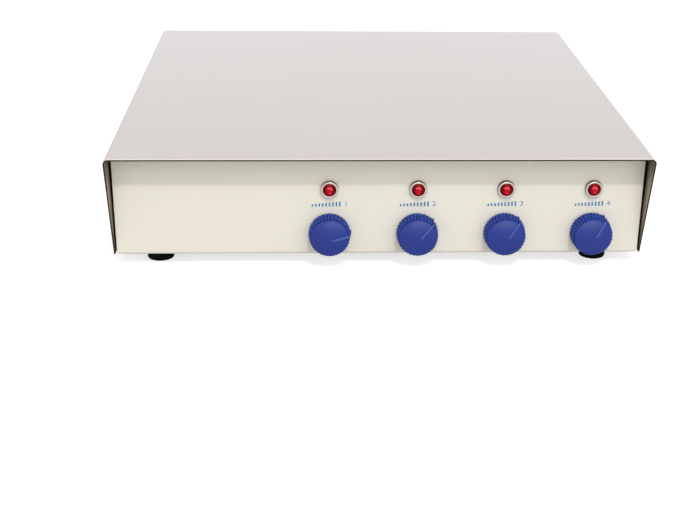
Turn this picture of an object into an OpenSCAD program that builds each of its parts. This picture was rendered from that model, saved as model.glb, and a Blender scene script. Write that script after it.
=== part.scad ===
// Four-position magnetic stirrer.
// A folded stainless cover stands over a painted chassis. Under its top plate four motors turn
// magnet arms. The front panel carries a lamp and a speed knob for each position, and the rear
// panel carries a switched and fused inlet.
// Millimetres, +Z up, front towards -Y, origin on the bench under the middle of the housing.

/* [Cover] */
// Width over the cover's side plates
cover_w = 400; // [376:1:440]
// Depth of the cover's top plate
cover_d = 400; // [360:1:440]
// Height of the cover's side plates
cover_h = 82; // [66:0.5:82.5]
// Thickness of the cover sheet
cover_t = 1.2; // [0.8:0.1:1.5]
// Inside radius of the cover's folds
cover_bend_r = 2.5; // [1:0.1:3]
// Set-back of each side plate's lower corners
visor_rake = 21.5; // [6:0.5:24]
// Distance of the side screws from the middle of the cover
side_screw_y = 120; // [60:1:140]

/* [Chassis] */
// Height from the chassis underside to the top surface
body_h = 82.5; // [80:0.5:92]
// Thickness of the chassis sheet
chassis_t = 1.2; // [1:0.1:2]
// Inside radius of the chassis folds
chassis_bend_r = 1.2; // [0.8:0.1:3]
// Gap between the chassis and the cover
chassis_gap = 0.5; // [0.3:0.1:0.9]
// Gap between the ends of the panels and the cover's side plates
panel_end_gap = 1.3; // [1.3:0.1:3]
// Set-back of the panels behind the cover's top edges
panel_setback = 21.5; // [20:0.5:28]
// Width of the flange along the top of each panel
flange_w = 14; // [8:0.5:20]
// Height of the side lips
lip_h = 22; // [18:0.5:32]
// Distance from each panel to the end of the side lips
lip_end_gap = 18; // [10:1:30]
// Number of slots in the rear vent
vent_count = 8; // [3:1:10]
// Width of each vent slot
vent_slot_w = 3; // [2:0.2:3.6]
// Height of each vent slot
vent_slot_h = 34; // [15:1:40]
// Distance between vent slots
vent_pitch = 9; // [6:0.5:12]
// Sideways place of the middle of the rear vent
vent_x = -110; // [-130:1:-70]

/* [Feet] */
// Height of the feet below the chassis
foot_h = 9.5; // [8:0.5:20]
// Diameter of a foot at the chassis
foot_top_d = 22.5; // [17:0.5:26]
// Diameter of a foot at the bench
foot_base_d = 20; // [16:0.5:26]
// Depth of the screw recess in a foot
foot_recess = 5; // [3.5:0.5:6]
// Distance of the foot centres from the chassis sides
foot_inset_x = 31; // [20:0.5:40]
// Distance of the foot centres from the panels
foot_inset_y = 19.5; // [18:0.5:30]

/* [Front controls] */
// Distance of the last control from the chassis's right side
control_inset = 38.3; // [28:0.1:60]
// Distance between neighbouring controls
control_pitch = 66; // [45:0.5:70]
// Distance of the lamps below the top surface
lamp_drop = 30; // [26:0.5:33]
// Distance of the knob axes below the top surface
knob_drop = 64.6; // [56:0.1:65]

/* [Knob] */
// Diameter at the rear rim
knob_d = 31.8; // [26:0.2:36]
// Diameter at the front of the fluted side
knob_front_d = 30; // [25:0.2:34]
// Length from the rear rim to the rim of the face
knob_h = 12; // [11:0.5:15]
// Width of the shoulder that slopes in to the face
knob_shoulder = 1.3; // [0.6:0.1:2]
// Height of the domed face above its rim
knob_dome_h = 1.8; // [1:0.2:3]
// Gap between the knob and the panel
knob_gap = 1.5; // [0.8:0.1:3]
// Thickness of the skirt around the hollow back
knob_skirt = 2.4; // [2:0.1:4]
// Number of flutes
flute_count = 36; // [20:1:44]
// Radius of each flute
flute_r = 1; // [0.7:0.1:1.2]
// Depth of each flute
flute_depth = 0.6; // [0.3:0.1:0.6]
// Width of the pointer ridge
pointer_w = 1.5; // [0.8:0.1:2.4]
// Height of the pointer ridge above the face and the side
pointer_h = 0.6; // [0.3:0.1:1]
// Distance of the pointer's inner end from the knob's axis
pointer_start = 1.5; // [0:0.5:6]
// Distance of the pointer ridge to the clockwise side of the knob's axis
pointer_side = 1.7; // [0:0.1:3]
// Clockwise turn of the first knob from upright
knob_turn_1 = 78; // [-150:1:150]
// Clockwise turn of the second knob from upright
knob_turn_2 = 41; // [-150:1:150]
// Clockwise turn of the third knob from upright
knob_turn_3 = 34; // [-150:1:150]
// Clockwise turn of the fourth knob from upright
knob_turn_4 = 28; // [-150:1:150]

/* [Speed control] */
// Diameter of the potentiometer case
pot_d = 16.5; // [14:0.5:20]
// Depth of the potentiometer case
pot_case_h = 9; // [7:0.5:14]
// Diameter of the threaded bush
bush_d = 7.5; // [7:0.1:9]
// Length of the bush in front of the panel
bush_l = 4.6; // [3.6:0.2:5]
// Diameter of the control shaft
shaft_d = 6; // [4:0.1:6.2]
// Length of shaft held in the knob
shaft_grip = 6; // [4:0.2:6.4]
// Length of shaft held in the case
shaft_tail = 5; // [3:0.5:6]

/* [Lamp] */
// Diameter of the bezel flange
bezel_d = 13; // [12:0.2:18]
// Height of the bezel flange
bezel_h = 3.5; // [2.8:0.1:5]
// Diameter of the bezel's threaded barrel
barrel_d = 9; // [7.4:0.2:10]
// Length of the barrel behind the panel's face
barrel_l = 13; // [9:0.5:18]
// Diameter of the lens
lens_d = 9.8; // [8:0.2:10.6]
// Depth of the lens seat in the bezel
lens_seat = 2.2; // [1.4:0.1:2.6]
// Height of the lens dome above the bezel
lens_dome_h = 1.4; // [0.6:0.1:2]
// Diameter of the lamp's light source
led_d = 5; // [3:0.2:5.4]
// Length of the light source behind the lens
led_l = 7; // [4:0.5:8]

/* [Stirring station] */
// Distance between station centres, left to right
station_dx = 200; // [190:1:208]
// Distance between station centres, front to back
station_dy = 200; // [194:1:206]
// Gap between the magnets and the top plate
magnet_gap = 4; // [2:0.5:6]
// Diameter of each magnet
magnet_d = 16; // [10:0.5:18]
// Height of each magnet
magnet_h = 12; // [9:0.5:14]
// Depth of the magnet seats in the arm
magnet_seat = 8; // [4:0.5:8.5]
// Distance between the two magnets of an arm
magnet_spread = 38; // [28:1:42]
// Thickness of the magnet arm
arm_t = 12; // [10:0.5:13]
// Wall of the arm around the magnets
arm_wall = 2.5; // [1.5:0.1:4]
// Diameter of the arm's hub
hub_d = 16; // [11:0.5:18]
// Length of the hub below the arm
hub_l = 4; // [2:0.5:5]
// Gap between the hub and the motor boss
hub_gap = 1.5; // [0.8:0.1:3]
// Diameter of the motor
motor_d = 37; // [30:0.5:42]
// Length of the motor body
motor_l = 40; // [30:0.5:42]
// Diameter of the boss on the motor's face
boss_d = 12; // [10:0.5:16]
// Height of the boss on the motor's face
boss_h = 5; // [4.5:0.5:6]
// Diameter of the motor shaft
motor_shaft_d = 5; // [3:0.1:6]
// Length of the motor shaft inside the motor
motor_shaft_tail = 20; // [10:1:26]
// Distance between the two screws in a motor's face
motor_screw_dx = 25; // [23:0.5:26]

/* [Motor rail] */
// Thickness of the rail sheet
rail_t = 1.5; // [1:0.1:2]
// Width over the rail's legs
rail_w = 46; // [44:1:52]
// Width of the rail's foot flanges
rail_flange = 12; // [10:0.5:14]
// Length of the rail beyond the station centres
rail_end = 40; // [30:1:42]
// Distance of the rail screws from the rail's ends
rail_screw_inset = 15; // [8:1:24]
// Diameter of the wire holes in the legs
wire_hole_d = 12; // [10:0.5:14]

/* [Transformer] */
// Outside diameter of the toroid
toroid_d = 80; // [60:1:90]
// Diameter of the hole through the toroid
toroid_bore = 30; // [20:1:36]
// Height of the toroid
toroid_h = 36; // [25:1:45]
// Rounding of the toroid's edges
toroid_round = 8; // [3:0.5:10]
// Thickness of each rubber pad
pad_t = 2; // [1:0.2:3]
// Diameter of the clamp dish
dish_d = 56; // [48:1:58]
// Thickness of the clamp dish
dish_t = 2; // [1.5:0.1:3]
// Diameter of the clamp bolt
clamp_bolt_d = 6; // [4:0.5:8]
// Sideways place of the transformer
transformer_x = -122; // [-135:1:-110]

/* [Control board] */
// Length of the board, left to right
board_w = 170; // [150:1:180]
// Depth of the board, front to back
board_d = 96; // [84:1:98]
// Thickness of the board
board_t = 1.6; // [1:0.1:2.4]
// Sideways place of the board's middle
board_x = 45; // [30:1:48]
// Height of the standoffs
standoff_h = 8; // [7.2:0.2:12]
// Distance of the board's screws from its edges
board_screw_inset = 5; // [4:0.5:7]
// Diameter of the smoothing capacitors
cap_d = 18; // [12:0.5:20]
// Height of the smoothing capacitors
cap_h = 32; // [16:1:40]
// Length of the heat sink
sink_w = 110; // [90:1:116]
// Height of the heat sink
sink_h = 28; // [20:1:36]
// Thickness of the heat sink's wall
sink_t = 3; // [2:0.2:4]
// Length of the heat sink's fins
sink_fin_l = 12; // [6:0.5:14]
// Thickness of each fin
sink_fin_t = 1.4; // [1:0.1:2]
// Number of fins
sink_fins = 13; // [5:1:17]
// Length of each terminal block
terminal_w = 30; // [20:1:34]
// Depth of each terminal block
terminal_d = 8; // [6:0.5:9]
// Height of each terminal block
terminal_h = 10; // [8:0.5:14]

/* [Power inlet] */
// Sideways place of the inlet
inlet_x = 100; // [85:1:140]
// Distance of the inlet's middle below the top surface
inlet_drop = 45; // [40:0.5:46]
// Width of the inlet's housing
inlet_w = 28.6; // [28:0.1:32]
// Height of the inlet's housing
inlet_h = 57; // [56:0.5:60]
// Depth of the inlet's housing behind the panel
inlet_depth = 28; // [26:0.5:30]
// Width of the inlet's rim on the panel
inlet_rim = 1.5; // [1:0.1:3]
// Thickness of the inlet's rim
inlet_rim_t = 2.5; // [2:0.1:4]
// Width of the socket
socket_w = 24.4; // [24:0.1:25]
// Height of the socket
socket_h = 16.6; // [16.2:0.1:17]
// Depth of the socket
socket_depth = 17; // [15:0.5:18]
// Cut of the socket's two upper corners
socket_cut = 4.4; // [3:0.1:5]
// Thickness of each contact pin
pin_t = 2; // [1.6:0.1:2.2]
// Width of each contact pin
pin_w = 4; // [3.6:0.1:4.2]
// Distance between the two outer pins
pin_pitch = 14; // [13.5:0.1:14.5]
// Length of the pins in the socket
pin_l = 13; // [10:0.5:14]
// Length of the tags behind the inlet
tag_l = 6; // [6:0.5:8]
// Width of the rocker
rocker_w = 19; // [16:0.2:20]
// Height of the rocker
rocker_h = 12; // [9:0.2:12.4]
// Tilt of the rocker to each side
rocker_tilt = 9; // [6:0.5:11]
// Diameter of the rocker's pivot
pivot_d = 2.6; // [2:0.1:3]
// Width of the fuse drawer
drawer_w = 20; // [16:0.2:22]
// Height of the fuse drawer
drawer_h = 8; // [7.4:0.1:8.6]
// Length of the fuse drawer in the inlet
drawer_l = 24; // [22:0.5:25]
// Diameter of the fuse
fuse_d = 5.2; // [5:0.1:6]
// Length of the fuse
fuse_l = 20; // [15:0.5:20]

/* [Fasteners] */
// Diameter of the housing screws
screw_d = 4; // [3:0.5:4.5]
// Diameter of the small screws
small_screw_d = 3; // [2:0.5:3]
// Radial room around a screw in its hole
screw_room = 0.2; // [0.1:0.05:0.4]

/* [Fits] */
// Radial play of a turning shaft
running_play = 0.05; // [0.02:0.01:0.1]
// Radial play of a piece pushed onto another
push_play = 0.05; // [0.02:0.01:0.1]
// Gap around sliding and swinging pieces
slide_gap = 0.3; // [0.2:0.05:0.4]
// Gap between a panel part and its hole
hole_gap = 0.2; // [0.1:0.05:0.3]

/* [Wiring] */
// Diameter of the leads
lead_d = 2.4; // [1.6:0.1:2.8]
// Room between neighbouring leads
lead_room = 0.6; // [0.4:0.1:0.9]
// Radius of the bends in the leads
lead_bend = 5; // [3:0.5:7]

/* [Hidden] */
$fn = 64;
positions = 4;
eps = 0.01;
top_z = foot_h + body_h;
cover_bottom_z = top_z - cover_h;
cover_fold_r = cover_bend_r + cover_t;
chassis_w = cover_w - 2 * (cover_t + chassis_gap);
panel_w = cover_w - 2 * (cover_t + panel_end_gap);
chassis_d = cover_d - 2 * panel_setback;
chassis_h = body_h - cover_t - chassis_gap;
chassis_fold_r = chassis_bend_r + chassis_t;
floor_z = foot_h + chassis_t;
lip_l = chassis_d - 2 * lip_end_gap;
foot_x = chassis_w / 2 - foot_inset_x;
foot_y = chassis_d / 2 - foot_inset_y;
side_screw_z = (cover_bottom_z + foot_h + lip_h) / 2;
lamp_z = top_z - lamp_drop;
knob_z = top_z - knob_drop;
inlet_z = top_z - inlet_drop;
knob_turn = [knob_turn_1, knob_turn_2, knob_turn_3, knob_turn_4];
screw_head_d = 2 * screw_d;
screw_head_h = 0.65 * screw_d;
screw_nut_af = 1.75 * screw_d;
screw_nut_h = 0.8 * screw_d;
small_head_d = 1.9 * small_screw_d;
small_head_h = 0.65 * small_screw_d;
small_nut_af = 1.8 * small_screw_d;
small_nut_h = 0.8 * small_screw_d;
washer_t = 0.5;
pot_nut_h = 2;
lamp_nut_h = 2.5;
magnet_top_z = top_z - cover_t - magnet_gap;
arm_top_z = magnet_top_z - magnet_h + magnet_seat;
arm_bottom_z = arm_top_z - arm_t;
boss_top_z = arm_bottom_z - hub_l - hub_gap;
motor_top_z = boss_top_z - boss_h;
rail_h = motor_top_z + rail_t - floor_z;
rail_l = station_dx + 2 * rail_end;
rail_screw_x = rail_l / 2 - rail_screw_inset;
rail_screw_y = (rail_w + rail_flange) / 2;
board_z = floor_z + standoff_h;
board_top_z = board_z + board_t;
board_screw_x = board_w / 2 - board_screw_inset;
board_screw_y = board_d / 2 - board_screw_inset;
standoff_af = 1.9 * small_screw_d;
sink_y = board_d / 2 - sink_fin_l - sink_t - 2 * board_screw_inset;
toroid_z = floor_z + pad_t;
clamp_z = toroid_z + toroid_h + pad_t;
rocker_y = 18;
drawer_y = 2.5;
socket_y = -14.5;
ear_dx = 40;
ear_d = 10;
pin_rise = 2;
pocket_depth = 9;
pivot_z = -3;
pivot_end = 1.4;
knob_face_z = knob_gap + knob_h;
knob_face_d = knob_front_d - 2 * knob_shoulder;
knob_draft = atan((knob_d - knob_front_d) / 2 / (knob_h - knob_shoulder));
knob_dome_r = (pow(knob_face_d / 2, 2) + pow(knob_dome_h, 2)) / (2 * knob_dome_h);
knob_hollow_z = knob_face_z - shaft_grip - 0.6;
lens_dome_r = (pow(lens_d / 2, 2) + pow(lens_dome_h, 2)) / (2 * lens_dome_h);
seat_gap = 0.02;
lead_gap = 0.1;
lead_step = lead_d + lead_room;
lead_z = floor_z + lead_d / 2 + 0.3;
terminal_z = board_top_z + terminal_h / 2;
terminal_edge = 2;
terminal_y = 19;
rail_side = rail_w / 2 + rail_flange;
aisle_y = (station_dy / 2 - rail_side + board_d / 2) / 2;

steel = [0.84, 0.83, 0.82];
zinc = [0.72, 0.73, 0.74];
cream = [0.90, 0.88, 0.83];
blue = [0.18, 0.23, 0.56];
red = [0.62, 0.03, 0.04];
black = [0.06, 0.06, 0.065];
chrome = [0.90, 0.87, 0.86];
dark_grey = [0.22, 0.22, 0.23];
brass = [0.78, 0.64, 0.32];
green = [0.08, 0.32, 0.18];
copper_wrap = [0.72, 0.55, 0.22];
aluminium = [0.78, 0.79, 0.80];
glass = [0.82, 0.88, 0.88];

function control_place(i) = chassis_w / 2 - control_inset - (positions - i) * control_pitch;
function station_x(i) = (i % 2 == 1 ? -1 : 1) * station_dx / 2;
function station_y(i) = (i <= 2 ? -1 : 1) * station_dy / 2;

// Placing

module on_front(x, z) {
    translate([x, -chassis_d / 2, z])
        rotate([90, 0, 0])
            children();
}

module on_rear(x, z) {
    translate([x, chassis_d / 2, z])
        rotate([90, 0, 180])
            children();
}

module at_station(i) {
    translate([station_x(i), station_y(i), 0])
        children();
}

module at_corners(x, y) {
    for (sx = [-1, 1])
        for (sy = [-1, 1])
            translate([sx * x, sy * y, 0])
                children();
}

module both_sides() {
    children();
    mirror([1, 0, 0])
        children();
}

// Shared shapes

module fold(r_in, t) {
    intersection() {
        difference() {
            circle(r = r_in + t);
            circle(r = r_in);
        }
        square(r_in + t);
    }
}

module rounded_rect(w, h, r) {
    translate([-w / 2 + r, -h / 2])
        square([w - 2 * r, h]);
    translate([-w / 2, -h / 2 + r])
        square([w, h - 2 * r]);
    for (sx = [-1, 1])
        for (sy = [-1, 1])
            translate([sx * (w / 2 - r), sy * (h / 2 - r)])
                circle(r = r);
}

module through_hole(d, h) {
    translate([0, 0, -h / 2])
        cylinder(d = d, h = h);
}

// Seat of the head at z = 0, shank below it
module pan_screw(d, head_d, head_h, l) {
    slot_l = 0.6 * head_d;
    slot_w = 0.16 * head_d;
    slot_h = 0.5 * head_h;
    difference() {
        union() {
            cylinder(d = head_d, h = 0.6 * head_h);
            translate([0, 0, 0.6 * head_h])
                cylinder(d1 = head_d, d2 = 0.75 * head_d, h = 0.4 * head_h);
            translate([0, 0, -l])
                cylinder(d = d, h = l + eps);
        }
        translate([-slot_l / 2, -slot_w / 2, head_h - slot_h])
            cube([slot_l, slot_w, head_h]);
        translate([-slot_w / 2, -slot_l / 2, head_h - slot_h])
            cube([slot_w, slot_l, head_h]);
    }
}

module hex_nut(d, af, h) {
    difference() {
        cylinder(d = af / cos(30), h = h, $fn = 6);
        translate([0, 0, -1])
            cylinder(d = d, h = h + 2);
    }
}

// Housing

module cover_half_profile() {
    translate([0, cover_h - cover_t])
        square([cover_w / 2 - cover_fold_r, cover_t]);
    translate([cover_w / 2 - cover_fold_r, cover_h - cover_fold_r])
        fold(cover_bend_r, cover_t);
    translate([cover_w / 2 - cover_t, 0])
        square([cover_t, cover_h - cover_fold_r]);
}

// Wedge that rakes the front edges of the side plates
module visor_wedge() {
    z0 = cover_h - cover_fold_r;
    step = visor_rake / z0;
    rotate([90, 0, 90])
        linear_extrude(cover_w + 2, center = true)
            polygon([
                [-cover_d / 2 - 1, z0],
                [-cover_d / 2, z0],
                [-cover_d / 2 + visor_rake + step, -1],
                [-cover_d / 2 - 1, -1]
            ]);
}

module side_holes(z) {
    for (sy = [-1, 1])
        translate([0, sy * side_screw_y, z])
            rotate([0, 90, 0])
                through_hole(screw_d + 2 * screw_room, cover_w + 2);
}

module top_cover() {
    color(steel)
        difference() {
            translate([0, 0, cover_bottom_z])
                difference() {
                    rotate([90, 0, 0])
                        linear_extrude(cover_d, center = true) {
                            cover_half_profile();
                            mirror([1, 0])
                                cover_half_profile();
                        }
                    visor_wedge();
                    mirror([0, 1, 0])
                        visor_wedge();
                }
            side_holes(side_screw_z);
        }
}

module chassis_half_profile() {
    half = chassis_d / 2;
    square([half - chassis_fold_r, chassis_t]);
    translate([half - chassis_fold_r, chassis_fold_r])
        mirror([0, 1])
            fold(chassis_bend_r, chassis_t);
    translate([half - chassis_t, chassis_fold_r])
        square([chassis_t, chassis_h - 2 * chassis_fold_r]);
    translate([half - chassis_fold_r, chassis_h - chassis_fold_r])
        fold(chassis_bend_r, chassis_t);
    translate([half - flange_w, chassis_h - chassis_t])
        square([flange_w - chassis_fold_r, chassis_t]);
}

module vent() {
    for (k = [0 : vent_count - 1])
        translate([(k - (vent_count - 1) / 2) * vent_pitch, 0, -2 * chassis_t])
            linear_extrude(4 * chassis_t)
                rounded_rect(vent_slot_w, vent_slot_h, vent_slot_w / 2 - eps);
}

module floor_holes() {
    at_corners(foot_x, foot_y)
        through_hole(screw_d + 2 * screw_room, 4 * floor_z);
    for (i = [1, 3])
        translate([0, station_y(i), 0])
            at_corners(rail_screw_x, rail_screw_y)
                through_hole(small_screw_d + 2 * screw_room, 4 * floor_z);
    translate([board_x, 0, 0])
        at_corners(board_screw_x, board_screw_y)
            through_hole(small_screw_d + 2 * screw_room, 4 * floor_z);
    translate([transformer_x, 0, 0])
        through_hole(clamp_bolt_d + 2 * screw_room, 4 * floor_z);
}

module inlet_panel_cut() {
    cut_l = 4 * chassis_t;
    translate([-inlet_w / 2 - hole_gap, -inlet_h / 2 - hole_gap, -cut_l / 2])
        cube([inlet_w + 2 * hole_gap, inlet_h + 2 * hole_gap, cut_l]);
    for (sx = [-1, 1])
        translate([sx * ear_dx / 2, socket_y, 0])
            through_hole(small_screw_d + 2 * screw_room, cut_l);
}

module base_chassis() {
    color(cream)
        difference() {
            union() {
                translate([0, 0, foot_h])
                    rotate([90, 0, 90])
                        linear_extrude(panel_w, center = true) {
                            chassis_half_profile();
                            mirror([1, 0])
                                chassis_half_profile();
                        }
                both_sides() {
                    translate([chassis_w / 2 - chassis_t, -lip_l / 2, foot_h])
                        cube([chassis_t, lip_l, lip_h]);
                    translate([panel_w / 2 - chassis_t, -lip_l / 2, foot_h])
                        cube([(chassis_w - panel_w) / 2 + chassis_t, lip_l, chassis_t]);
                }
            }
            floor_holes();
            side_holes(side_screw_z);
            for (i = [1 : positions]) {
                on_front(control_place(i), lamp_z)
                    through_hole(barrel_d + 2 * hole_gap, 4 * chassis_t);
                on_front(control_place(i), knob_z)
                    through_hole(bush_d + 2 * hole_gap, 4 * chassis_t);
            }
            on_rear(vent_x, inlet_z)
                vent();
            on_rear(inlet_x, inlet_z)
                inlet_panel_cut();
        }
}

module rubber_foot() {
    difference() {
        cylinder(d1 = foot_base_d, d2 = foot_top_d, h = foot_h);
        translate([0, 0, -1])
            cylinder(d = screw_head_d + 4 * screw_room, h = foot_recess + 1);
        cylinder(d = screw_d + 2 * screw_room, h = foot_h + 1);
    }
}

module rubber_feet() {
    color(black)
        at_corners(foot_x, foot_y)
            rubber_foot();
}

module foot_screws() {
    shank_l = floor_z + screw_nut_h + 1 - foot_recess;
    color(zinc)
        at_corners(foot_x, foot_y) {
            translate([0, 0, foot_recess])
                mirror([0, 0, 1])
                    pan_screw(screw_d, screw_head_d, screw_head_h, shank_l);
            translate([0, 0, floor_z])
                hex_nut(screw_d + 2 * push_play, screw_nut_af, screw_nut_h);
        }
}

module cover_screws() {
    grip = cover_t + chassis_gap + chassis_t;
    color(zinc)
        both_sides()
            for (sy = [-1, 1])
                translate([cover_w / 2, sy * side_screw_y, side_screw_z])
                    rotate([0, 90, 0]) {
                        pan_screw(screw_d, screw_head_d, screw_head_h, grip + screw_nut_h + 1);
                        translate([0, 0, -grip - screw_nut_h])
                            hex_nut(screw_d + 2 * push_play, screw_nut_af, screw_nut_h);
                    }
}

// Stirring stations

module motor_rail(i) {
    half = rail_w / 2;
    edge = half + rail_flange;
    color(zinc)
        translate([0, station_y(i), floor_z])
            difference() {
                rotate([90, 0, 90])
                    linear_extrude(rail_l, center = true)
                        polygon([
                            [-edge, 0], [-half + rail_t, 0], [-half + rail_t, rail_h - rail_t],
                            [half - rail_t, rail_h - rail_t], [half - rail_t, 0], [edge, 0],
                            [edge, rail_t], [half, rail_t], [half, rail_h],
                            [-half, rail_h], [-half, rail_t], [-edge, rail_t]
                        ]);
                for (sx = [-1, 1])
                    translate([sx * station_dx / 2, 0, rail_h]) {
                        through_hole(boss_d + 2 * hole_gap, 4 * rail_t);
                        for (k = [-1, 1])
                            translate([k * motor_screw_dx / 2, 0, 0])
                                through_hole(small_screw_d + 2 * screw_room, 4 * rail_t);
                    }
                at_corners(rail_screw_x, rail_screw_y)
                    through_hole(small_screw_d + 2 * screw_room, 4 * rail_t);
                translate([0, 0, wire_hole_d])
                    rotate([90, 0, 0])
                        through_hole(wire_hole_d, rail_w + 2);
            }
}

module motor(i) {
    screw_depth = 5;
    color(zinc)
        at_station(i)
            difference() {
                union() {
                    translate([0, 0, motor_top_z - motor_l])
                        cylinder(d = motor_d, h = motor_l);
                    translate([0, 0, motor_top_z - eps])
                        cylinder(d = boss_d, h = boss_h + eps);
                    translate([0, 0, motor_top_z - motor_l - 2])
                        cylinder(d = boss_d, h = 2 + eps);
                }
                translate([0, 0, motor_top_z - motor_shaft_tail])
                    cylinder(d = motor_shaft_d + 2 * running_play, h = motor_l);
                for (k = [-1, 1])
                    translate([k * motor_screw_dx / 2, 0, motor_top_z - screw_depth])
                        cylinder(d = small_screw_d + 2 * push_play, h = screw_depth + 1);
            }
}

module motor_screws() {
    color(zinc)
        for (i = [1 : positions])
            at_station(i)
                for (k = [-1, 1])
                    translate([k * motor_screw_dx / 2, 0, motor_top_z + rail_t])
                        pan_screw(small_screw_d, small_head_d, small_head_h, rail_t + 4.5);
}

module motor_shaft(i) {
    color(steel)
        at_station(i)
            translate([0, 0, motor_top_z - motor_shaft_tail + 0.3])
                cylinder(d = motor_shaft_d, h = arm_top_z - motor_top_z + motor_shaft_tail - 0.3);
}

module magnet_arm(i) {
    arm_l = magnet_spread + magnet_d + 2 * arm_wall;
    arm_w = magnet_d + 2 * arm_wall;
    color(aluminium)
        at_station(i)
            difference() {
                union() {
                    translate([0, 0, arm_bottom_z])
                        linear_extrude(arm_t)
                            rounded_rect(arm_l, arm_w, 0.35 * arm_w);
                    translate([0, 0, arm_bottom_z - hub_l])
                        cylinder(d = hub_d, h = hub_l + eps);
                }
                translate([0, 0, arm_bottom_z - hub_l - 1])
                    cylinder(d = motor_shaft_d + 2 * push_play, h = arm_t + hub_l + 2);
                for (k = [-1, 1])
                    translate([k * magnet_spread / 2, 0, arm_top_z - magnet_seat])
                        cylinder(d = magnet_d + 2 * push_play, h = magnet_seat + 1);
            }
}

module magnets(i) {
    color(dark_grey)
        at_station(i)
            for (k = [-1, 1])
                translate([k * magnet_spread / 2, 0, arm_top_z - magnet_seat])
                    cylinder(d = magnet_d, h = magnet_h);
}

// Front controls, each drawn with the panel's face at z = 0 and the viewer at +z

module potentiometer(i) {
    tag_drop = 6;
    color(dark_grey)
        on_front(control_place(i), knob_z)
            difference() {
                union() {
                    translate([0, 0, -chassis_t - pot_case_h])
                        cylinder(d = pot_d, h = pot_case_h);
                    translate([0, 0, -chassis_t - eps])
                        cylinder(d = bush_d, h = chassis_t + bush_l + eps);
                    for (k = [-1, 0, 1])
                        translate([k * 0.28 * pot_d - 0.6, -pot_d / 2 - tag_drop, -chassis_t - 3])
                            cube([1.2, tag_drop + pot_d / 3, 0.8]);
                }
                translate([0, 0, -chassis_t - shaft_tail - 0.5])
                    cylinder(d = shaft_d + 2 * running_play, h = shaft_tail + bush_l + 10);
            }
}

module pot_shaft(i) {
    color(zinc)
        on_front(control_place(i), knob_z)
            translate([0, 0, -chassis_t - shaft_tail])
                cylinder(d = shaft_d, h = chassis_t + shaft_tail + knob_hollow_z + shaft_grip);
}

module knob_form(extra) {
    rotate_extrude()
        polygon([
            [0, knob_gap], [knob_d / 2 + extra, knob_gap],
            [knob_front_d / 2 + extra, knob_face_z - knob_shoulder],
            [knob_face_d / 2 + extra, knob_face_z], [0, knob_face_z]
        ]);
    intersection() {
        translate([0, 0, knob_face_z - eps])
            cylinder(d = knob_face_d + 2 * extra, h = knob_dome_h + 1 + extra);
        translate([0, 0, knob_face_z + knob_dome_h - knob_dome_r])
            sphere(r = knob_dome_r + extra, $fn = 180);
    }
}

module knob(i) {
    color(blue)
        on_front(control_place(i), knob_z)
            rotate([0, 0, -knob_turn[i - 1]])
                difference() {
                    union() {
                        difference() {
                            knob_form(0);
                            for (k = [0 : flute_count - 1])
                                rotate([0, 0, (k + 0.5) * 360 / flute_count])
                                    translate([knob_d / 2 + flute_r - flute_depth, 0, knob_gap])
                                        rotate([0, -knob_draft, 0])
                                            translate([0, 0, -1])
                                                cylinder(r = flute_r, h = knob_h + 2);
                        }
                        intersection() {
                            translate([pointer_side - pointer_w / 2, pointer_start, knob_gap + 0.4])
                                cube([pointer_w, knob_d, knob_h + knob_dome_h + 2]);
                            knob_form(pointer_h);
                        }
                    }
                    translate([0, 0, knob_gap - 1])
                        cylinder(d = knob_front_d - 2 * (knob_skirt + flute_depth),
                                 h = knob_hollow_z - knob_gap + 1);
                    cylinder(d = shaft_d + 2 * push_play, h = knob_hollow_z + shaft_grip + 0.3);
                }
}

module lamp_bezel(i) {
    lip = 0.6;
    color(chrome)
        on_front(control_place(i), lamp_z)
            difference() {
                union() {
                    cylinder(d = bezel_d, h = bezel_h - lip);
                    translate([0, 0, bezel_h - lip])
                        cylinder(d1 = bezel_d, d2 = bezel_d - 2 * lip, h = lip);
                    translate([0, 0, -barrel_l])
                        cylinder(d = barrel_d, h = barrel_l + eps);
                }
                translate([0, 0, bezel_h - lens_seat])
                    cylinder(d = lens_d + 2 * push_play, h = lens_seat + 1);
                translate([0, 0, -barrel_l - 1])
                    cylinder(d = led_d + 2 * push_play, h = barrel_l + bezel_h + 1);
            }
}

module lamp_lens(i) {
    color(red)
        on_front(control_place(i), lamp_z) {
            translate([0, 0, bezel_h - lens_seat])
                cylinder(d = lens_d, h = lens_seat + eps);
            intersection() {
                translate([0, 0, bezel_h])
                    cylinder(d = lens_d, h = lens_dome_h + 1);
                translate([0, 0, bezel_h + lens_dome_h - lens_dome_r])
                    sphere(r = lens_dome_r, $fn = 90);
            }
            translate([0, 0, bezel_h - lens_seat - led_l])
                cylinder(d = led_d, h = led_l + eps);
        }
}

module panel_nuts() {
    color(zinc)
        for (i = [1 : positions]) {
            on_front(control_place(i), knob_z) {
                difference() {
                    cylinder(d = 1.7 * bush_d, h = washer_t);
                    through_hole(bush_d + 2 * push_play, 4 * washer_t);
                }
                translate([0, 0, washer_t + seat_gap])
                    hex_nut(bush_d + 2 * push_play, 1.45 * bush_d, pot_nut_h);
            }
            on_front(control_place(i), lamp_z)
                translate([0, 0, -chassis_t - lamp_nut_h])
                    hex_nut(barrel_d + 2 * push_play, 1.45 * barrel_d, lamp_nut_h);
        }
}

// Rear inlet, drawn with the panel's face at z = 0 and the outside at +z

module socket_shape(grow) {
    w = socket_w / 2 + grow;
    h = socket_h / 2 + grow;
    polygon([[-w, -h], [w, -h], [w, h - socket_cut], [w - socket_cut, h],
             [-w + socket_cut, h], [-w, h - socket_cut]]);
}

module pin_set(grow, z0, z1) {
    for (k = [-1, 0, 1])
        translate([k * pin_pitch / 2 - pin_t / 2 - grow,
                   socket_y + (k == 0 ? pin_rise : -pin_rise) - pin_w / 2 - grow, z0])
            cube([pin_t + 2 * grow, pin_w + 2 * grow, z1 - z0]);
}

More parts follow.
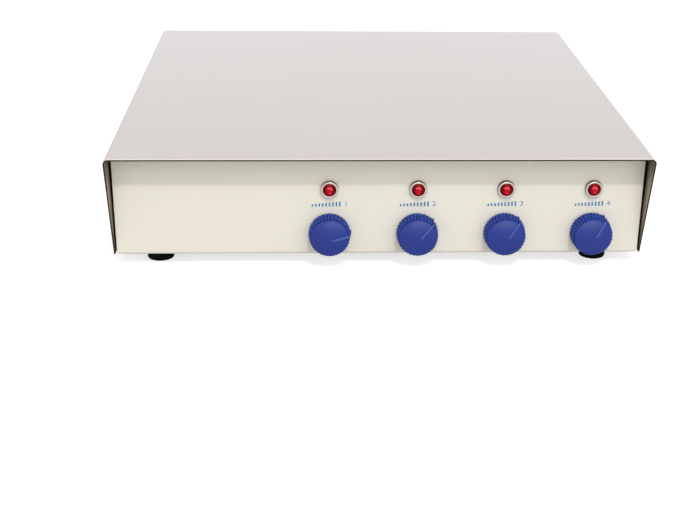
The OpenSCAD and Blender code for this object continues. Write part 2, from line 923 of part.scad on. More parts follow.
module power_inlet() {
    rim_w = inlet_w + 2 * inlet_rim;
    rim_h = inlet_h + 2 * inlet_rim;
    pocket_w = rocker_w + 2 * slide_gap + 2;
    pocket_h = rocker_h + 2 * slide_gap;
    slot_w = drawer_w + 2 * slide_gap;
    slot_h = drawer_h + 2 * slide_gap;
    color(black)
        on_rear(inlet_x, inlet_z)
            difference() {
                union() {
                    translate([-inlet_w / 2, -inlet_h / 2, -inlet_depth])
                        cube([inlet_w, inlet_h, inlet_depth + eps]);
                    linear_extrude(inlet_rim_t)
                        rounded_rect(rim_w, rim_h, 2);
                    linear_extrude(inlet_rim_t)
                        translate([0, socket_y])
                            rounded_rect(ear_dx + ear_d, ear_d, ear_d / 2 - eps);
                }
                translate([0, socket_y, inlet_rim_t - socket_depth])
                    linear_extrude(socket_depth + 1)
                        socket_shape(0);
                translate([-pocket_w / 2, rocker_y - pocket_h / 2, inlet_rim_t - pocket_depth])
                    cube([pocket_w, pocket_h, pocket_depth + 1]);
                translate([0, rocker_y, pivot_z])
                    rotate([90, 0, 0])
                        through_hole(pivot_d + 2 * running_play, rocker_h + 2 * pivot_end + 2 * slide_gap);
                translate([-slot_w / 2, drawer_y - slot_h / 2, inlet_rim_t - drawer_l - slide_gap])
                    cube([slot_w, slot_h, drawer_l + slide_gap + 1]);
                for (sx = [-1, 1])
                    translate([sx * ear_dx / 2, socket_y, 0])
                        through_hole(small_screw_d + 2 * screw_room, 4 * inlet_rim_t);
                pin_set(push_play, -inlet_depth - 1, 0);
            }
}

module inlet_pins() {
    color(brass)
        on_rear(inlet_x, inlet_z)
            pin_set(0, -inlet_depth - tag_l, inlet_rim_t - socket_depth + pin_l);
}

module inlet_screws() {
    grip = inlet_rim_t + chassis_t;
    color(zinc)
        on_rear(inlet_x, inlet_z)
            for (sx = [-1, 1])
                translate([sx * ear_dx / 2, socket_y, inlet_rim_t]) {
                    pan_screw(small_screw_d, small_head_d, small_head_h, grip + small_nut_h + 1);
                    translate([0, 0, -grip - small_nut_h])
                        hex_nut(small_screw_d + 2 * push_play, small_nut_af, small_nut_h);
                }
}

module rocker() {
    half = rocker_w / 2;
    color(red)
        on_rear(inlet_x, inlet_z)
            translate([0, rocker_y, pivot_z])
                rotate([0, -rocker_tilt, 0])
                    rotate([90, 0, 0]) {
                        linear_extrude(rocker_h, center = true)
                            polygon([[-half, -1.6], [half, -1.6], [half, 7.4], [0, 6], [-half, 7.4]]);
                        translate([0, 0, -rocker_h / 2 - pivot_end])
                            cylinder(d = pivot_d, h = rocker_h + 2 * pivot_end);
                    }
}

module fuse_drawer() {
    plate_t = 2;
    tray_w = drawer_w - 2;
    color(black)
        on_rear(inlet_x, inlet_z)
            translate([0, drawer_y, inlet_rim_t])
                difference() {
                    union() {
                        translate([-drawer_w / 2, -drawer_h / 2, -plate_t])
                            cube([drawer_w, drawer_h, plate_t]);
                        translate([-drawer_w / 2, -drawer_h / 2, -eps])
                            cube([drawer_w, 1.6, 1.2]);
                        translate([-tray_w / 2, -drawer_h / 2, -drawer_l])
                            cube([tray_w, drawer_h, drawer_l - plate_t + eps]);
                    }
                    translate([-fuse_d / 2 - push_play, -fuse_d / 2 - push_play, -plate_t - fuse_l - 1])
                        cube([fuse_d + 2 * push_play, drawer_h, fuse_l + 0.6]);
                }
}

module fuse() {
    cap_l = 5;
    color(glass)
        on_rear(inlet_x, inlet_z)
            translate([0, drawer_y, inlet_rim_t - 2.7 - fuse_l]) {
                cylinder(d = fuse_d, h = cap_l);
                cylinder(d = fuse_d - 0.6, h = fuse_l);
                translate([0, 0, fuse_l - cap_l])
                    cylinder(d = fuse_d, h = cap_l);
            }
}

// Power and control inside the housing

module at_transformer(z) {
    translate([transformer_x, 0, z])
        children();
}

module transformer_toroid() {
    ring_w = (toroid_d - toroid_bore) / 2;
    color(copper_wrap)
        at_transformer(toroid_z + toroid_h / 2)
            rotate_extrude()
                translate([(toroid_d + toroid_bore) / 4, 0])
                    rounded_rect(ring_w, toroid_h, toroid_round);
}

module transformer_pads() {
    color(black)
        for (z = [floor_z, toroid_z + toroid_h])
            at_transformer(z)
                difference() {
                    cylinder(d = toroid_d - 2 * toroid_round, h = pad_t);
                    through_hole(clamp_bolt_d + 2 * screw_room, 4 * pad_t);
                }
}

module transformer_clamp() {
    head_h = 0.65 * clamp_bolt_d;
    nut_h = 0.8 * clamp_bolt_d;
    color(zinc) {
        at_transformer(clamp_z)
            difference() {
                cylinder(d = dish_d, h = dish_t);
                through_hole(clamp_bolt_d + 2 * screw_room, 4 * dish_t);
            }
        at_transformer(foot_h)
            mirror([0, 0, 1])
                pan_screw(clamp_bolt_d, 1.8 * clamp_bolt_d, head_h, clamp_z + dish_t + nut_h + 2 - foot_h);
        at_transformer(clamp_z + dish_t + seat_gap)
            hex_nut(clamp_bolt_d + 2 * push_play, 1.7 * clamp_bolt_d, nut_h);
    }
}

module on_board(x, y) {
    translate([board_x + x, y, board_top_z])
        children();
}

module control_board() {
    color(green)
        difference() {
            translate([board_x - board_w / 2, -board_d / 2, board_z])
                cube([board_w, board_d, board_t]);
            translate([board_x, 0, board_z])
                at_corners(board_screw_x, board_screw_y)
                    through_hole(small_screw_d + 2 * screw_room, 4 * board_t);
        }
}

module terminal_block() {
    ways = 5;
    difference() {
        translate([-terminal_w / 2, -terminal_d / 2, 0])
            cube([terminal_w, terminal_d, terminal_h]);
        for (k = [0 : ways - 1])
            translate([(k - (ways - 1) / 2) * terminal_w / ways, 0, terminal_h - 2])
                cylinder(d = 0.6 * terminal_w / ways, h = 3);
    }
}

module board_components() {
    chip = [20, 7, 4];
    driver = [10, 4.5, 16];
    driver_pitch = 25;
    edge_x = board_w / 2 - terminal_edge - terminal_d / 2;
    color(dark_grey) {
        for (k = [-1, 1])
            on_board(-board_w / 2 + 30, k * 11 - 6)
                cylinder(d = cap_d, h = cap_h);
        on_board(-board_x, -board_d / 2 + terminal_edge + terminal_d / 2)
            terminal_block();
        on_board(edge_x, 0)
            rotate([0, 0, 90])
                terminal_block();
        for (k = [-1, 1])
            on_board(-edge_x, k * terminal_y)
                rotate([0, 0, 90])
                    terminal_block();
        for (k = [0 : positions - 1]) {
            on_board((k - 1.5) * driver_pitch - driver[0] / 2, sink_y - driver[1] - seat_gap)
                cube(driver);
            on_board((k - 1.2) * driver_pitch - chip[0] / 2, -10)
                cube(chip);
        }
    }
}

module heat_sink() {
    fin_step = (sink_w - sink_fin_t) / (sink_fins - 1);
    color(aluminium)
        on_board(-sink_w / 2, sink_y) {
            cube([sink_w, sink_t, sink_h]);
            for (k = [0 : sink_fins - 1])
                translate([k * fin_step, sink_t - eps, 0])
                    cube([sink_fin_t, sink_fin_l, sink_h]);
        }
}

module board_standoffs() {
    color(brass)
        translate([board_x, 0, floor_z])
            at_corners(board_screw_x, board_screw_y)
                hex_nut(small_screw_d + 2 * push_play, standoff_af, standoff_h);
}

module m3_screws() {
    board_grip = 3;
    color(zinc) {
        for (i = [1, 3])
            translate([0, station_y(i), 0])
                at_corners(rail_screw_x, rail_screw_y) {
                    translate([0, 0, floor_z + rail_t])
                        pan_screw(small_screw_d, small_head_d, small_head_h,
                                  rail_t + chassis_t + small_nut_h + 1);
                    translate([0, 0, foot_h - small_nut_h])
                        hex_nut(small_screw_d + 2 * push_play, small_nut_af, small_nut_h);
                }
        translate([board_x, 0, 0])
            at_corners(board_screw_x, board_screw_y) {
                translate([0, 0, board_top_z])
                    pan_screw(small_screw_d, small_head_d, small_head_h, board_t + board_grip);
                translate([0, 0, foot_h])
                    mirror([0, 0, 1])
                        pan_screw(small_screw_d, small_head_d, small_head_h, chassis_t + board_grip);
            }
    }
}

// Leads, each a tube swept along its own route

function unit(v) = v / norm(v);

function corner(a, b, c) =
    let (
        u = min(lead_bend, norm(a - b) / 2.2),
        v = min(lead_bend, norm(c - b) / 2.2),
        s = b + u * unit(a - b),
        e = b + v * unit(c - b)
    )
    [s, (s + 2 * b + e) / 4, e];

function rounded_route(p) = [
    p[0],
    for (k = [1 : len(p) - 2]) each corner(p[k - 1], p[k], p[k + 1]),
    p[len(p) - 1]
];

function heading(q, k) =
    k == 0 ? unit(q[1] - q[0])
    : k == len(q) - 1 ? unit(q[k] - q[k - 1])
    : unit(unit(q[k + 1] - q[k]) + unit(q[k] - q[k - 1]));

function first_side(t) = unit(cross(t, abs(t[2]) < 0.9 ? [0, 0, 1] : [1, 0, 0]));

function level(u, t) = unit(u - (u * t) * t);

module lead(route) {
    sides = 6;
    q = rounded_route(route);
    n = len(q);
    t = [for (k = [0 : n - 1]) heading(q, k)];
    u = [for (k = 0, a = first_side(t[0]); k < n; k = k + 1, a = k < n ? level(a, t[k]) : a) a];
    points = [
        for (k = [0 : n - 1])
            for (m = [0 : sides - 1])
                let (w = 360 * m / sides)
                q[k] + lead_d / 2 * (cos(w) * u[k] + sin(w) * cross(t[k], u[k]))
    ];
    walls = [
        for (k = [0 : n - 2])
            for (m = [0 : sides - 1])
                let (a = k * sides + m, b = k * sides + (m + 1) % sides)
                [a, a + sides, b + sides, b]
    ];
    start = [for (m = [0 : sides - 1]) m];
    end = [for (m = [sides - 1 : -1 : 0]) (n - 1) * sides + m];
    polyhedron(points, concat([start], walls, [end]), convexity = 6);
}

// From a motor through the hole in its rail's inner leg
function motor_route(i) =
    let (
        x = station_x(i),
        y = station_y(i),
        s = sign(x),
        d = -sign(y),
        x0 = x - s * (boss_d / 2 + 4),
        hole_z = floor_z + wire_hole_d
    )
    [
        [x0, y, motor_top_z - motor_l - lead_gap],
        [x0, y, lead_z + lead_step],
        [s * 20, y, lead_z + lead_step],
        [s * lead_step, y + d * rail_w / 4, hole_z],
        [s * lead_step, y + d * (rail_w / 2 + 6), hole_z]
    ];

// The front motors go to the board's front edge
function front_motor_end(i) =
    let (
        x = sign(station_x(i)) * lead_step,
        y = -board_d / 2 + terminal_edge
    )
    [[x, y - 8, terminal_z], [x, y - lead_gap, terminal_z]];

// The rear motors go along the aisle behind the board to its left edge
function rear_motor_end(i) =
    let (
        s = sign(station_x(i)),
        x = board_x - board_w / 2,
        y = aisle_y - s * lead_step / 2,
        lane = x - 10 + s * lead_step / 2,
        z = lead_z + 2 * lead_step,
        end_y = terminal_y + s * lead_step
    )
    [
        [s * lead_step, y, z],
        [lane, y, z],
        [lane, end_y, terminal_z],
        [x + terminal_edge - lead_gap, end_y, terminal_z]
    ];

function control_lane_y(i) = -station_dy / 2 - rail_side - (i - 0.5) * lead_step;

// Shared way from the front panel round the rail's end to the board's right edge
function control_route(i, layer) =
    let (
        end_x = board_x + board_w / 2 - terminal_edge + lead_gap,
        end_y = ((i - 2.5) * 0.22 + layer * 0.11) * terminal_w,
        lane_x = max(rail_l / 2 + 6, end_x + 17) + (i - 1) * lead_step,
        lane_y = control_lane_y(i),
        z = lead_z + layer * lead_step
    )
    [
        [lane_x, lane_y, z],
        [lane_x, end_y, z],
        [end_x + 11, end_y, z + 0.5],
        [end_x + 5, end_y, terminal_z],
        [end_x, end_y, terminal_z]
    ];

function pot_route(i) =
    let (
        x = control_place(i),
        y = -chassis_d / 2 + chassis_t + 3 + lead_gap,
        lane_y = control_lane_y(i),
        z = knob_z - pot_d / 2 - 3
    )
    concat(
        [[x, y, z], [x, y + lead_step, z], [x, y + lead_step, lead_z], [x, lane_y, lead_z]],
        control_route(i, 0)
    );

function lamp_route(i) =
    let (
        x = control_place(i),
        y = -chassis_d / 2 - bezel_h + lens_seat + led_l + lead_gap,
        out_y = -chassis_d / 2 + barrel_l + lead_step,
        lane_y = control_lane_y(i)
    )
    concat(
        [
            [x, y, lamp_z],
            [x, out_y, lamp_z],
            [x, out_y, lamp_z - barrel_d - lead_step],
            [x, lane_y, (lamp_z + lead_z) / 2 - lead_step],
            [x, lane_y, lead_z + lead_step]
        ],
        control_route(i, 1)
    );

function toroid_point(r, a, z) =
    [transformer_x + (toroid_d / 2 + r) * cos(a), (toroid_d / 2 + r) * sin(a), z];

// Middle of the tags behind the inlet
function tag_y() = chassis_d / 2 - inlet_depth - tag_l / 2;

// From under one of the inlet's outer tags round the rear rail and along the aisle to the transformer
function mains_route(s) =
    let (
        x = inlet_x + s * pin_pitch / 2,
        y = tag_y() - lead_step / 2,
        z = inlet_z + socket_y - pin_rise - pin_w / 2,
        run_z = floor_z + rail_t + small_head_h + lead_step / 2 + (s > 0 ? lead_step : 0),
        lane_x = rail_l / 2 + 10 + s * lead_step / 2,
        run_y = aisle_y - s * lead_step / 2,
        coil_z = toroid_z + toroid_h / 2
    )
    [
        [x, y, z - lead_gap],
        [x, y, run_z],
        [lane_x, y, run_z],
        [lane_x, y - 30, lead_z],
        [lane_x, run_y, lead_z],
        [board_x - board_w / 2 - 20 + s * 3, run_y, lead_z],
        toroid_point(25 + s * 4, 43 - s * 8, lead_z + 5),
        toroid_point(12, 20 - s * 9, coil_z),
        toroid_point(lead_gap, 20 - s * 9, coil_z)
    ];

// From under the inlet's middle tag to the rail's flange, which is bonded to the chassis
function earth_route() =
    let (
        y = tag_y() + lead_step / 2,
        z = inlet_z + socket_y + pin_rise - pin_w / 2,
        end_y = station_dy / 2 + rail_screw_y
    )
    [
        [inlet_x, y, z - lead_gap],
        [inlet_x, y, z - 6],
        [inlet_x, end_y, z - 10],
        [inlet_x, end_y, floor_z + rail_t + lead_gap]
    ];

// From the transformer to the board's left edge
function secondary_route() =
    let (
        coil_z = toroid_z + toroid_h / 2,
        x = board_x - board_w / 2 + terminal_edge - lead_gap
    )
    [
        toroid_point(lead_gap, -20, coil_z),
        toroid_point(10, -20, coil_z),
        [x - 8, -terminal_y, terminal_z],
        [x, -terminal_y, terminal_z]
    ];

module wiring_loom() {
    color(red) {
        for (i = [1 : positions]) {
            lead(concat(motor_route(i), i <= 2 ? front_motor_end(i) : rear_motor_end(i)));
            lead(pot_route(i));
            lead(lamp_route(i));
        }
        for (s = [-1, 1])
            lead(mains_route(s));
        lead(earth_route());
        lead(secondary_route());
    }
}

top_cover();
base_chassis();
rubber_feet();
foot_screws();
cover_screws();
motor_rail(1);  // motor_rail_front
motor_rail(3);  // motor_rail_rear
motor_screws();
for (i = [1 : positions]) {
    motor(i);
    motor_shaft(i);
    magnet_arm(i);
    magnets(i);
    potentiometer(i);
    pot_shaft(i);
    knob(i);
    lamp_bezel(i);
    lamp_lens(i);
}
panel_nuts();
power_inlet();
inlet_pins();
inlet_screws();
rocker();
fuse_drawer();
fuse();
transformer_toroid();
transformer_pads();
transformer_clamp();
control_board();
board_components();
heat_sink();
board_standoffs();
m3_screws();
wiring_loom();
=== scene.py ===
import math
from contextlib import contextmanager

import bmesh
import bpy
from bpy.props import FloatProperty, FloatVectorProperty, IntProperty, PointerProperty
from mathutils import Matrix, Vector


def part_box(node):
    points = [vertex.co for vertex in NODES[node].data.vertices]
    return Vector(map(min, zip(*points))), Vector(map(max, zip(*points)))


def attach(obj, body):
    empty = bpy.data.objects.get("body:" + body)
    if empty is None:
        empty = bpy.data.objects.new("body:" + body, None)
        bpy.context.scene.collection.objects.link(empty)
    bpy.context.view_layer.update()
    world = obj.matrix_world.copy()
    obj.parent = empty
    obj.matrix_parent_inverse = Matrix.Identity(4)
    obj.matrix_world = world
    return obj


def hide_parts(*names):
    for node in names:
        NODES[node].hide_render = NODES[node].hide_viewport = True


bl_info = {
    "name": "Four-position magnetic stirrer",
    "version": (1, 0, 0),
    "blender": (4, 5, 0),
    "location": "3D View > Sidebar > Stirrer",
    "description": "Dresses the stirrer's parts and sets them on a studio floor",
    "category": "Object",
}

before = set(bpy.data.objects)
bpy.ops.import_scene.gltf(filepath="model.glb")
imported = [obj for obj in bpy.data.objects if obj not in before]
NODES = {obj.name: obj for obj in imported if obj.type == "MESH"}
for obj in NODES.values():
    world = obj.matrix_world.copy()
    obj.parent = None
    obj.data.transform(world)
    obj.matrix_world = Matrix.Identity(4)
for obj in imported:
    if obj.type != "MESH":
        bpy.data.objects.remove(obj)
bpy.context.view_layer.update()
MM = 0.001
MERGE = 0.002 * MM
POSITIONS = (1, 2, 3, 4)

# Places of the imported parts, in metres
COVER_LOW, COVER_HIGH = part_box("top_cover")
PANEL_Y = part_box("base_chassis")[0].y
FOOT_LOW, FOOT_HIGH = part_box("rubber_feet")
LAMPS = [sum(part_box(f"lamp_bezel_{n}"), Vector()) / 2 for n in POSITIONS]
KNOBS = [sum(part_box(f"pot_shaft_{n}"), Vector()) / 2 for n in POSITIONS]
CONTROL_PITCH = (LAMPS[-1].x - LAMPS[0].x) / (len(POSITIONS) - 1)


# Settings that a user would change

def length(name, about, value):
    """A length in metres, given in millimetres."""
    return FloatProperty(name=name, description=about, default=value * MM, min=0.0,
                         subtype="DISTANCE", unit="LENGTH", precision=5)


def colour(name, about, value):
    """A plain colour."""
    return FloatVectorProperty(name=name, description=about, default=value, min=0.0, max=1.0,
                               size=3, subtype="COLOR")


def power(name, about, value):
    """A lamp's power in watts."""
    return FloatProperty(name=name, description=about, default=value, min=0.0,
                         subtype="POWER", unit="POWER")


def strength(name, about, value):
    """A strength, where 1 is white."""
    return FloatProperty(name=name, description=about, default=value, min=0.0)


def degrees(name, about, value):
    """An angle, given in degrees."""
    return FloatProperty(name=name, description=about, default=math.radians(value),
                         subtype="ANGLE", unit="ROTATION")


def spot(name, about, value):
    """A place in metres."""
    return FloatVectorProperty(name=name, description=about, default=value, size=3,
                               subtype="TRANSLATION", unit="LENGTH")


class CoverSettings(bpy.types.PropertyGroup):
    sheet: length("Sheet", "Thickness of the cover sheet", 1.2)
    fold: length("Fold", "Outside radius of the folds along the sides", 3.7)
    rake: length("Rake", "Set-back of the side plates' lower corners", 21.5)
    edge: length("Edge", "Rounding of the sheet's cut edges", 0.15)
    steel: colour("Steel", "Colour of the stainless sheet", (0.685, 0.660, 0.658))
    # The inner face's colour is darkened and browned as painted shade and painted reflection
    inside: colour("Inside", "Colour of the sheet's dull inner face", (0.40, 0.345, 0.265))
    # Near-black, partly the cut edge's own tone and partly painted shade under the lip
    cut: colour("Cut", "Colour of the sheet's cut edges", (0.045, 0.030, 0.018))


class ChassisSettings(bpy.types.PropertyGroup):
    edge: length("Edge", "Rounding of the painted sheet's edges", 0.2)
    paint: colour("Paint", "Colour of the powder coat", (0.79, 0.76, 0.66))


class KnobSettings(bpy.types.PropertyGroup):
    rear_radius: length("Rear radius", "Radius at the rear rim", 15.9)
    front_radius: length("Front radius", "Radius at the front of the fluted side", 15.0)
    gap: length("Gap", "Room between the knob and the panel", 1.5)
    side: length("Side", "Length from the rear rim to the rim of the face", 12.0)
    shoulder: length("Shoulder", "Width of the shoulder that slopes in to the face", 1.3)
    dome: length("Dome", "Height of the domed face", 1.8)
    flutes: IntProperty(name="Flutes", description="Number of flutes", default=36,
                        min=12, max=60)
    pointer_width: length("Pointer width", "Width of the raised pointer", 1.5)
    pointer_height: length("Pointer height", "Height of the pointer above the face", 0.6)
    pointer_side: length("Pointer side", "Distance of the pointer clockwise of the axis", 1.7)
    turn: FloatVectorProperty(name="Turn", description="Clockwise turn of each knob from upright",
                              size=4, subtype="EULER", unit="ROTATION",
                              default=[math.radians(a) for a in (78, 41, 34, 28)])
    plastic: colour("Plastic", "Colour of the moulding", (0.001, 0.022, 0.240))
    # Paler than the moulding, as painted light on the fluted side
    flute_plastic: colour("Fluted side", "Colour of the matt, fluted side", (0.020, 0.058, 0.38))
    # The pointer's paler colour is a painted highlight on its face
    pointer_plastic: colour("Pointer", "Colour of the rubbed pointer", (0.075, 0.115, 0.42))


class LampSettings(bpy.types.PropertyGroup):
    bezel_radius: length("Bezel radius", "Outside radius of the bezel", 6.5)
    bezel_height: length("Bezel height", "Height of the bezel in front of the panel", 3.5)
    lens_radius: length("Lens radius", "Radius of the lens", 4.9)
    lens_dome: length("Lens dome", "Height of the lens above the bezel", 1.4)
    chrome: colour("Chrome", "Colour of the bezel", (0.86, 0.73, 0.69))
    red: colour("Red", "Colour of the lens", (0.53, 0.003, 0.012))


class MarkSettings(bpy.types.PropertyGroup):
    width: length("Width", "Width of a printed scale with its number", 28.0)
    height: length("Height", "Height of the printed numbers", 3.9)
    drop: length("Drop", "Distance of the print below the lamp's axis", 12.2)
    stroke: length("Stroke", "Width of a tick", 1.25)
    ticks: IntProperty(name="Ticks", description="Number of rising ticks", default=9,
                       min=2, max=12)
    ink: colour("Ink", "Colour of the print", (0.045, 0.17, 0.34))


class FootSettings(bpy.types.PropertyGroup):
    top_radius: length("Top radius", "Radius against the chassis", 11.25)
    base_radius: length("Base radius", "Radius on the bench", 10.0)
    recess: length("Recess", "Depth of the screw recess", 5.0)
    rubber: colour("Rubber", "Colour of the feet", (0.004, 0.004, 0.004))


class InletSettings(bpy.types.PropertyGroup):
    edge: length("Edge", "Rounding of the moulded edges", 0.35)
    plastic: colour("Plastic", "Colour of the inlet", (0.014, 0.014, 0.015))
    rocker: colour("Rocker", "Colour of the rocker", (0.42, 0.012, 0.012))


class StageSettings(bpy.types.PropertyGroup):
    floor: colour("Floor", "Colour of the floor", (0.60, 0.60, 0.60))
    floor_glow: strength("Floor glow", "Light that the floor adds for the camera", 0.66)
    mirrored_glow: strength("Mirrored glow", "Light that the floor adds in metal and glass", 0.1)
    ambient: strength("Ambient", "Strength of the light from all round", 0.60)
    key: power("Key", "Power of the lamp above the front", 16.0)
    key_size: length("Key size", "Width of the lamp above the front", 110.0)
    key_place: spot("Key place", "Place of that lamp from the panel", (0.22, -1.49, 1.83))
    soft: power("Soft", "Power of the soft box above the front", 30.0)
    soft_size: length("Soft size", "Width of the soft box above the front", 3100.0)
    soft_place: spot("Soft place", "Place of the soft box from the panel", (0.5, -2.05, 1.3))
    strip: power("Strip", "Power of the low strip lamp in front", 3.0)
    strip_width: length("Strip width", "Width of the low strip lamp", 1300.0)
    strip_height: length("Strip height", "Height of the low strip lamp", 350.0)
    strip_place: spot("Strip place", "Place of the strip lamp from the panel", (0.38, -2.3, 0.18))
    camera: spot("Camera", "Place of the camera", (-0.0490, -1.0626, 0.3868))
    yaw: degrees("Yaw", "Turn of the camera to the right", 3.166)
    pitch: degrees("Pitch", "Tilt of the camera downwards", 23.264)
    roll: degrees("Roll", "Roll of the camera", 0.975)
    lens: FloatProperty(name="Lens", description="Focal length of the camera", default=66.62,
                        min=10.0, subtype="DISTANCE_CAMERA")
    sensor: FloatProperty(name="Sensor", description="Width of the camera's sensor", default=36.0,
                          min=1.0, subtype="DISTANCE_CAMERA")
    shift: FloatVectorProperty(name="Shift", description="Shift of the lens across and up", size=2,
                               default=(-0.0545, 0.0009))


# Shader maths

class Signal:
    """One output socket of a node tree. Arithmetic on it adds the nodes that work it out."""

    def __init__(self, tree, socket=None):
        self.tree = tree
        self.socket = socket

    def node(self, kind, settings=None, inputs=None, output=0):
        """Adds a node, sets it up, fills its sockets and returns one of its outputs."""
        made = self.tree.nodes.new(kind)
        for name, value in (settings or {}).items():
            setattr(made, name, value)
        for name, value in (inputs or {}).items():
            self.fill(made.inputs[name], value)
        return Signal(self.tree, made.outputs[output])

    def fill(self, socket, value):
        """Links or sets one input socket."""
        if isinstance(value, Signal):
            self.tree.links.new(value.socket, socket)
        elif hasattr(value, "__len__") and len(value) == 3 and socket.type == "RGBA":
            socket.default_value = (*value, 1.0)
        else:
            socket.default_value = value

    def math(self, operation, *others):
        """This value and any others through one maths node."""
        values = dict(enumerate((self, *others)))
        return self.node("ShaderNodeMath", {"operation": operation}, values)

    def __add__(self, other):
        return self.math("ADD", other)

    __radd__ = __add__

    def __sub__(self, other):
        return self.math("SUBTRACT", other)

    def __rsub__(self, other):
        return self.node("ShaderNodeMath", {"operation": "SUBTRACT"}, {0: other, 1: self})

    def __mul__(self, other):
        return self.math("MULTIPLY", other)

    __rmul__ = __mul__

    def __truediv__(self, other):
        return self.math("DIVIDE", other)

    def __rtruediv__(self, other):
        return self.node("ShaderNodeMath", {"operation": "DIVIDE"}, {0: other, 1: self})

    def __pow__(self, other):
        return self.math("POWER", other)

    def __abs__(self):
        return self.math("ABSOLUTE")

    def within(self, low, high):
        """Goes smoothly from 0 to 1 between two values."""
        return self.node("ShaderNodeMapRange", {"interpolation_type": "SMOOTHSTEP"},
                         {"Value": self, "From Min": low, "From Max": high})

    def tint(self, low, high):
        """Mixes two colours by this value."""
        return self.node("ShaderNodeMix", {"data_type": "RGBA"}, {0: self, 6: low, 7: high}, 2)

    def stretch(self, scale):
        """Scales a place along each axis."""
        return self.node("ShaderNodeMapping", None, {"Vector": self, "Scale": scale})

    def noise(self, scale, detail):
        """Even noise from 0 to 1 at this place."""
        return self.node("ShaderNodeTexNoise", None,
                         {"Vector": self, "Scale": scale, "Detail": detail})

    def cells(self, scale, output="Color"):
        """Crystal-like cells at this place."""
        return self.node("ShaderNodeTexVoronoi", None, {"Vector": self, "Scale": scale}, output)

    def axis(self, name):
        """One coordinate of a place."""
        return self.node("ShaderNodeSeparateXYZ", None, {0: self}, name)

    def about(self, centre):
        """Distances across and up from the nearest control's axis, in metres."""
        half = CONTROL_PITCH / 2
        across = (self.axis("X") - centre.x).math("WRAP", half, -half)
        return across, self.axis("Z") - centre.z

    def bump(self, depth, share):
        """A normal from this height, with its depth in metres."""
        return self.node("ShaderNodeBump", None,
                         {"Height": self, "Distance": depth, "Strength": share})


def finish(name, recipe, *values):
    """A material from a recipe, which takes the object's coordinates and gives shader sockets."""
    made = bpy.data.materials.new(name)
    made.use_nodes = True
    shader = made.node_tree.nodes["Principled BSDF"]
    place = Signal(made.node_tree).node("ShaderNodeTexCoord", output="Object")
    for socket, value in recipe(place, *values).items():
        place.fill(shader.inputs[socket], value)
    return made


def shaded(tone, share):
    """A colour made darker or lighter by a share."""
    return tuple(min(1.0, c * share) for c in tone)


def stainless(place, tone, size):
    """Satin rolled sheet with a faint grain from front to back, with painted warmer light towards
    the front, a painted highlight along the front and rear arrises, and painted shade on the inner
    face and, in part, on the cut edges.
    """
    painted_light_tint = (0.95, 0.90, 0.862)
    painted_arris_highlight = (0.90, 0.79, 0.69)
    grain = place.stretch((2600.0, 18.0, 2600.0)).noise(1.0, 3.0)
    cloud = place.noise(7.0, 3.0)
    across, depth, up = (place.axis(name) for name in "XYZ")

    # Height above the sheet's inner face, round the folds too
    past_side = (abs(across) - (COVER_HIGH.x - size.fold)).math("MAXIMUM", 0.0)
    past_top = (up - (COVER_HIGH.z - size.fold)).math("MAXIMUM", 0.0)
    level = (past_side * past_side + past_top * past_top) ** 0.5 - (size.fold - size.sheet)
    outer = level.within(size.sheet - 0.22 * MM, size.sheet - 0.1 * MM)
    cut = level.within(0.03 * MM, 0.10 * MM)

    # Outer face, with painted warmer light towards the front and a painted highlight along its front
    # and rear edges
    painted_front_light = 1.0 - depth.within(COVER_LOW.y, COVER_HIGH.y)
    warm = tuple(c * k for c, k in zip(tone, painted_light_tint))
    satin = (grain * 0.12 + cloud * 0.25 + painted_front_light * 0.63).tint(tone, warm)
    # Painted highlight: a bright band along the front and rear arrises of the top
    edge = abs(depth).within(COVER_HIGH.y - 2.6 * MM, COVER_HIGH.y - 0.8 * MM)
    painted_arris_mask = past_top.within(size.fold - 0.5 * MM, size.fold - 0.2 * MM) * edge
    satin = painted_arris_mask.tint(satin, painted_arris_highlight)

    # Inner face, with painted shade: darker in the corner under the plate, and behind the panels
    # darkest towards the top
    inner = (grain * 0.6 + cloud * 0.4).tint(shaded(size.inside, 0.8), shaded(size.inside, 1.2))
    # Painted shade in the corner under the plate
    corner = up.within(COVER_HIGH.z - 24 * MM, COVER_HIGH.z - 4 * MM)
    inner = corner.tint(inner, shaded(size.inside, 0.5))
    # Painted shade behind the panels, deepest towards the top
    painted_gap_shade = up.within(30 * MM, 75 * MM).tint(shaded(size.inside, 0.6), shaded(size.inside, 0.05))
    ahead = (abs(depth) + PANEL_Y).within(-1 * MM, 13 * MM)
    # Cut edges are near-black, partly as painted shade
    dull = cut.tint(ahead.tint(painted_gap_shade, inner), size.cut)
    return {
        "Base Color": outer.tint(dull, satin),
        "Metallic": 1.0,
        "Roughness": 0.45 - outer * 0.28 + grain * 0.08 + cloud * 0.05,
        "Normal": grain.bump(0.004 * MM, 0.5),
    }


def powder_coat(place, tone):
    """Smooth powder coat: soft orange peel with a little mottling."""
    peel = place.noise(620.0, 1.0)
    fleck = place.noise(2400.0, 2.0)
    cloud = place.noise(14.0, 2.0)
    mottle = (cloud * 0.7 + fleck * 0.3).within(0.3, 0.7)
    return {
        "Base Color": mottle.tint(shaded(tone, 0.985), shaded(tone, 1.012)),
        "Roughness": 0.40 + fleck * 0.12,
        "Normal": (peel * 0.8 + fleck * 0.2).bump(0.03 * MM, 0.35),
    }


def moulded(place, tone, rough=0.42):
    """Moulded plastic with a fine spark-eroded grain."""
    grain = place.noise(1700.0, 2.0)
    flow = place.noise(60.0, 2.0)
    mottle = (flow * 0.6 + grain * 0.4).within(0.3, 0.7)
    return {
        "Base Color": mottle.tint(shaded(tone, 0.93), shaded(tone, 1.06)),
        "Roughness": rough - 0.05 + grain * 0.10,
        "Specular IOR Level": 0.3,
        "Normal": grain.bump(0.02 * MM, 0.35),
    }


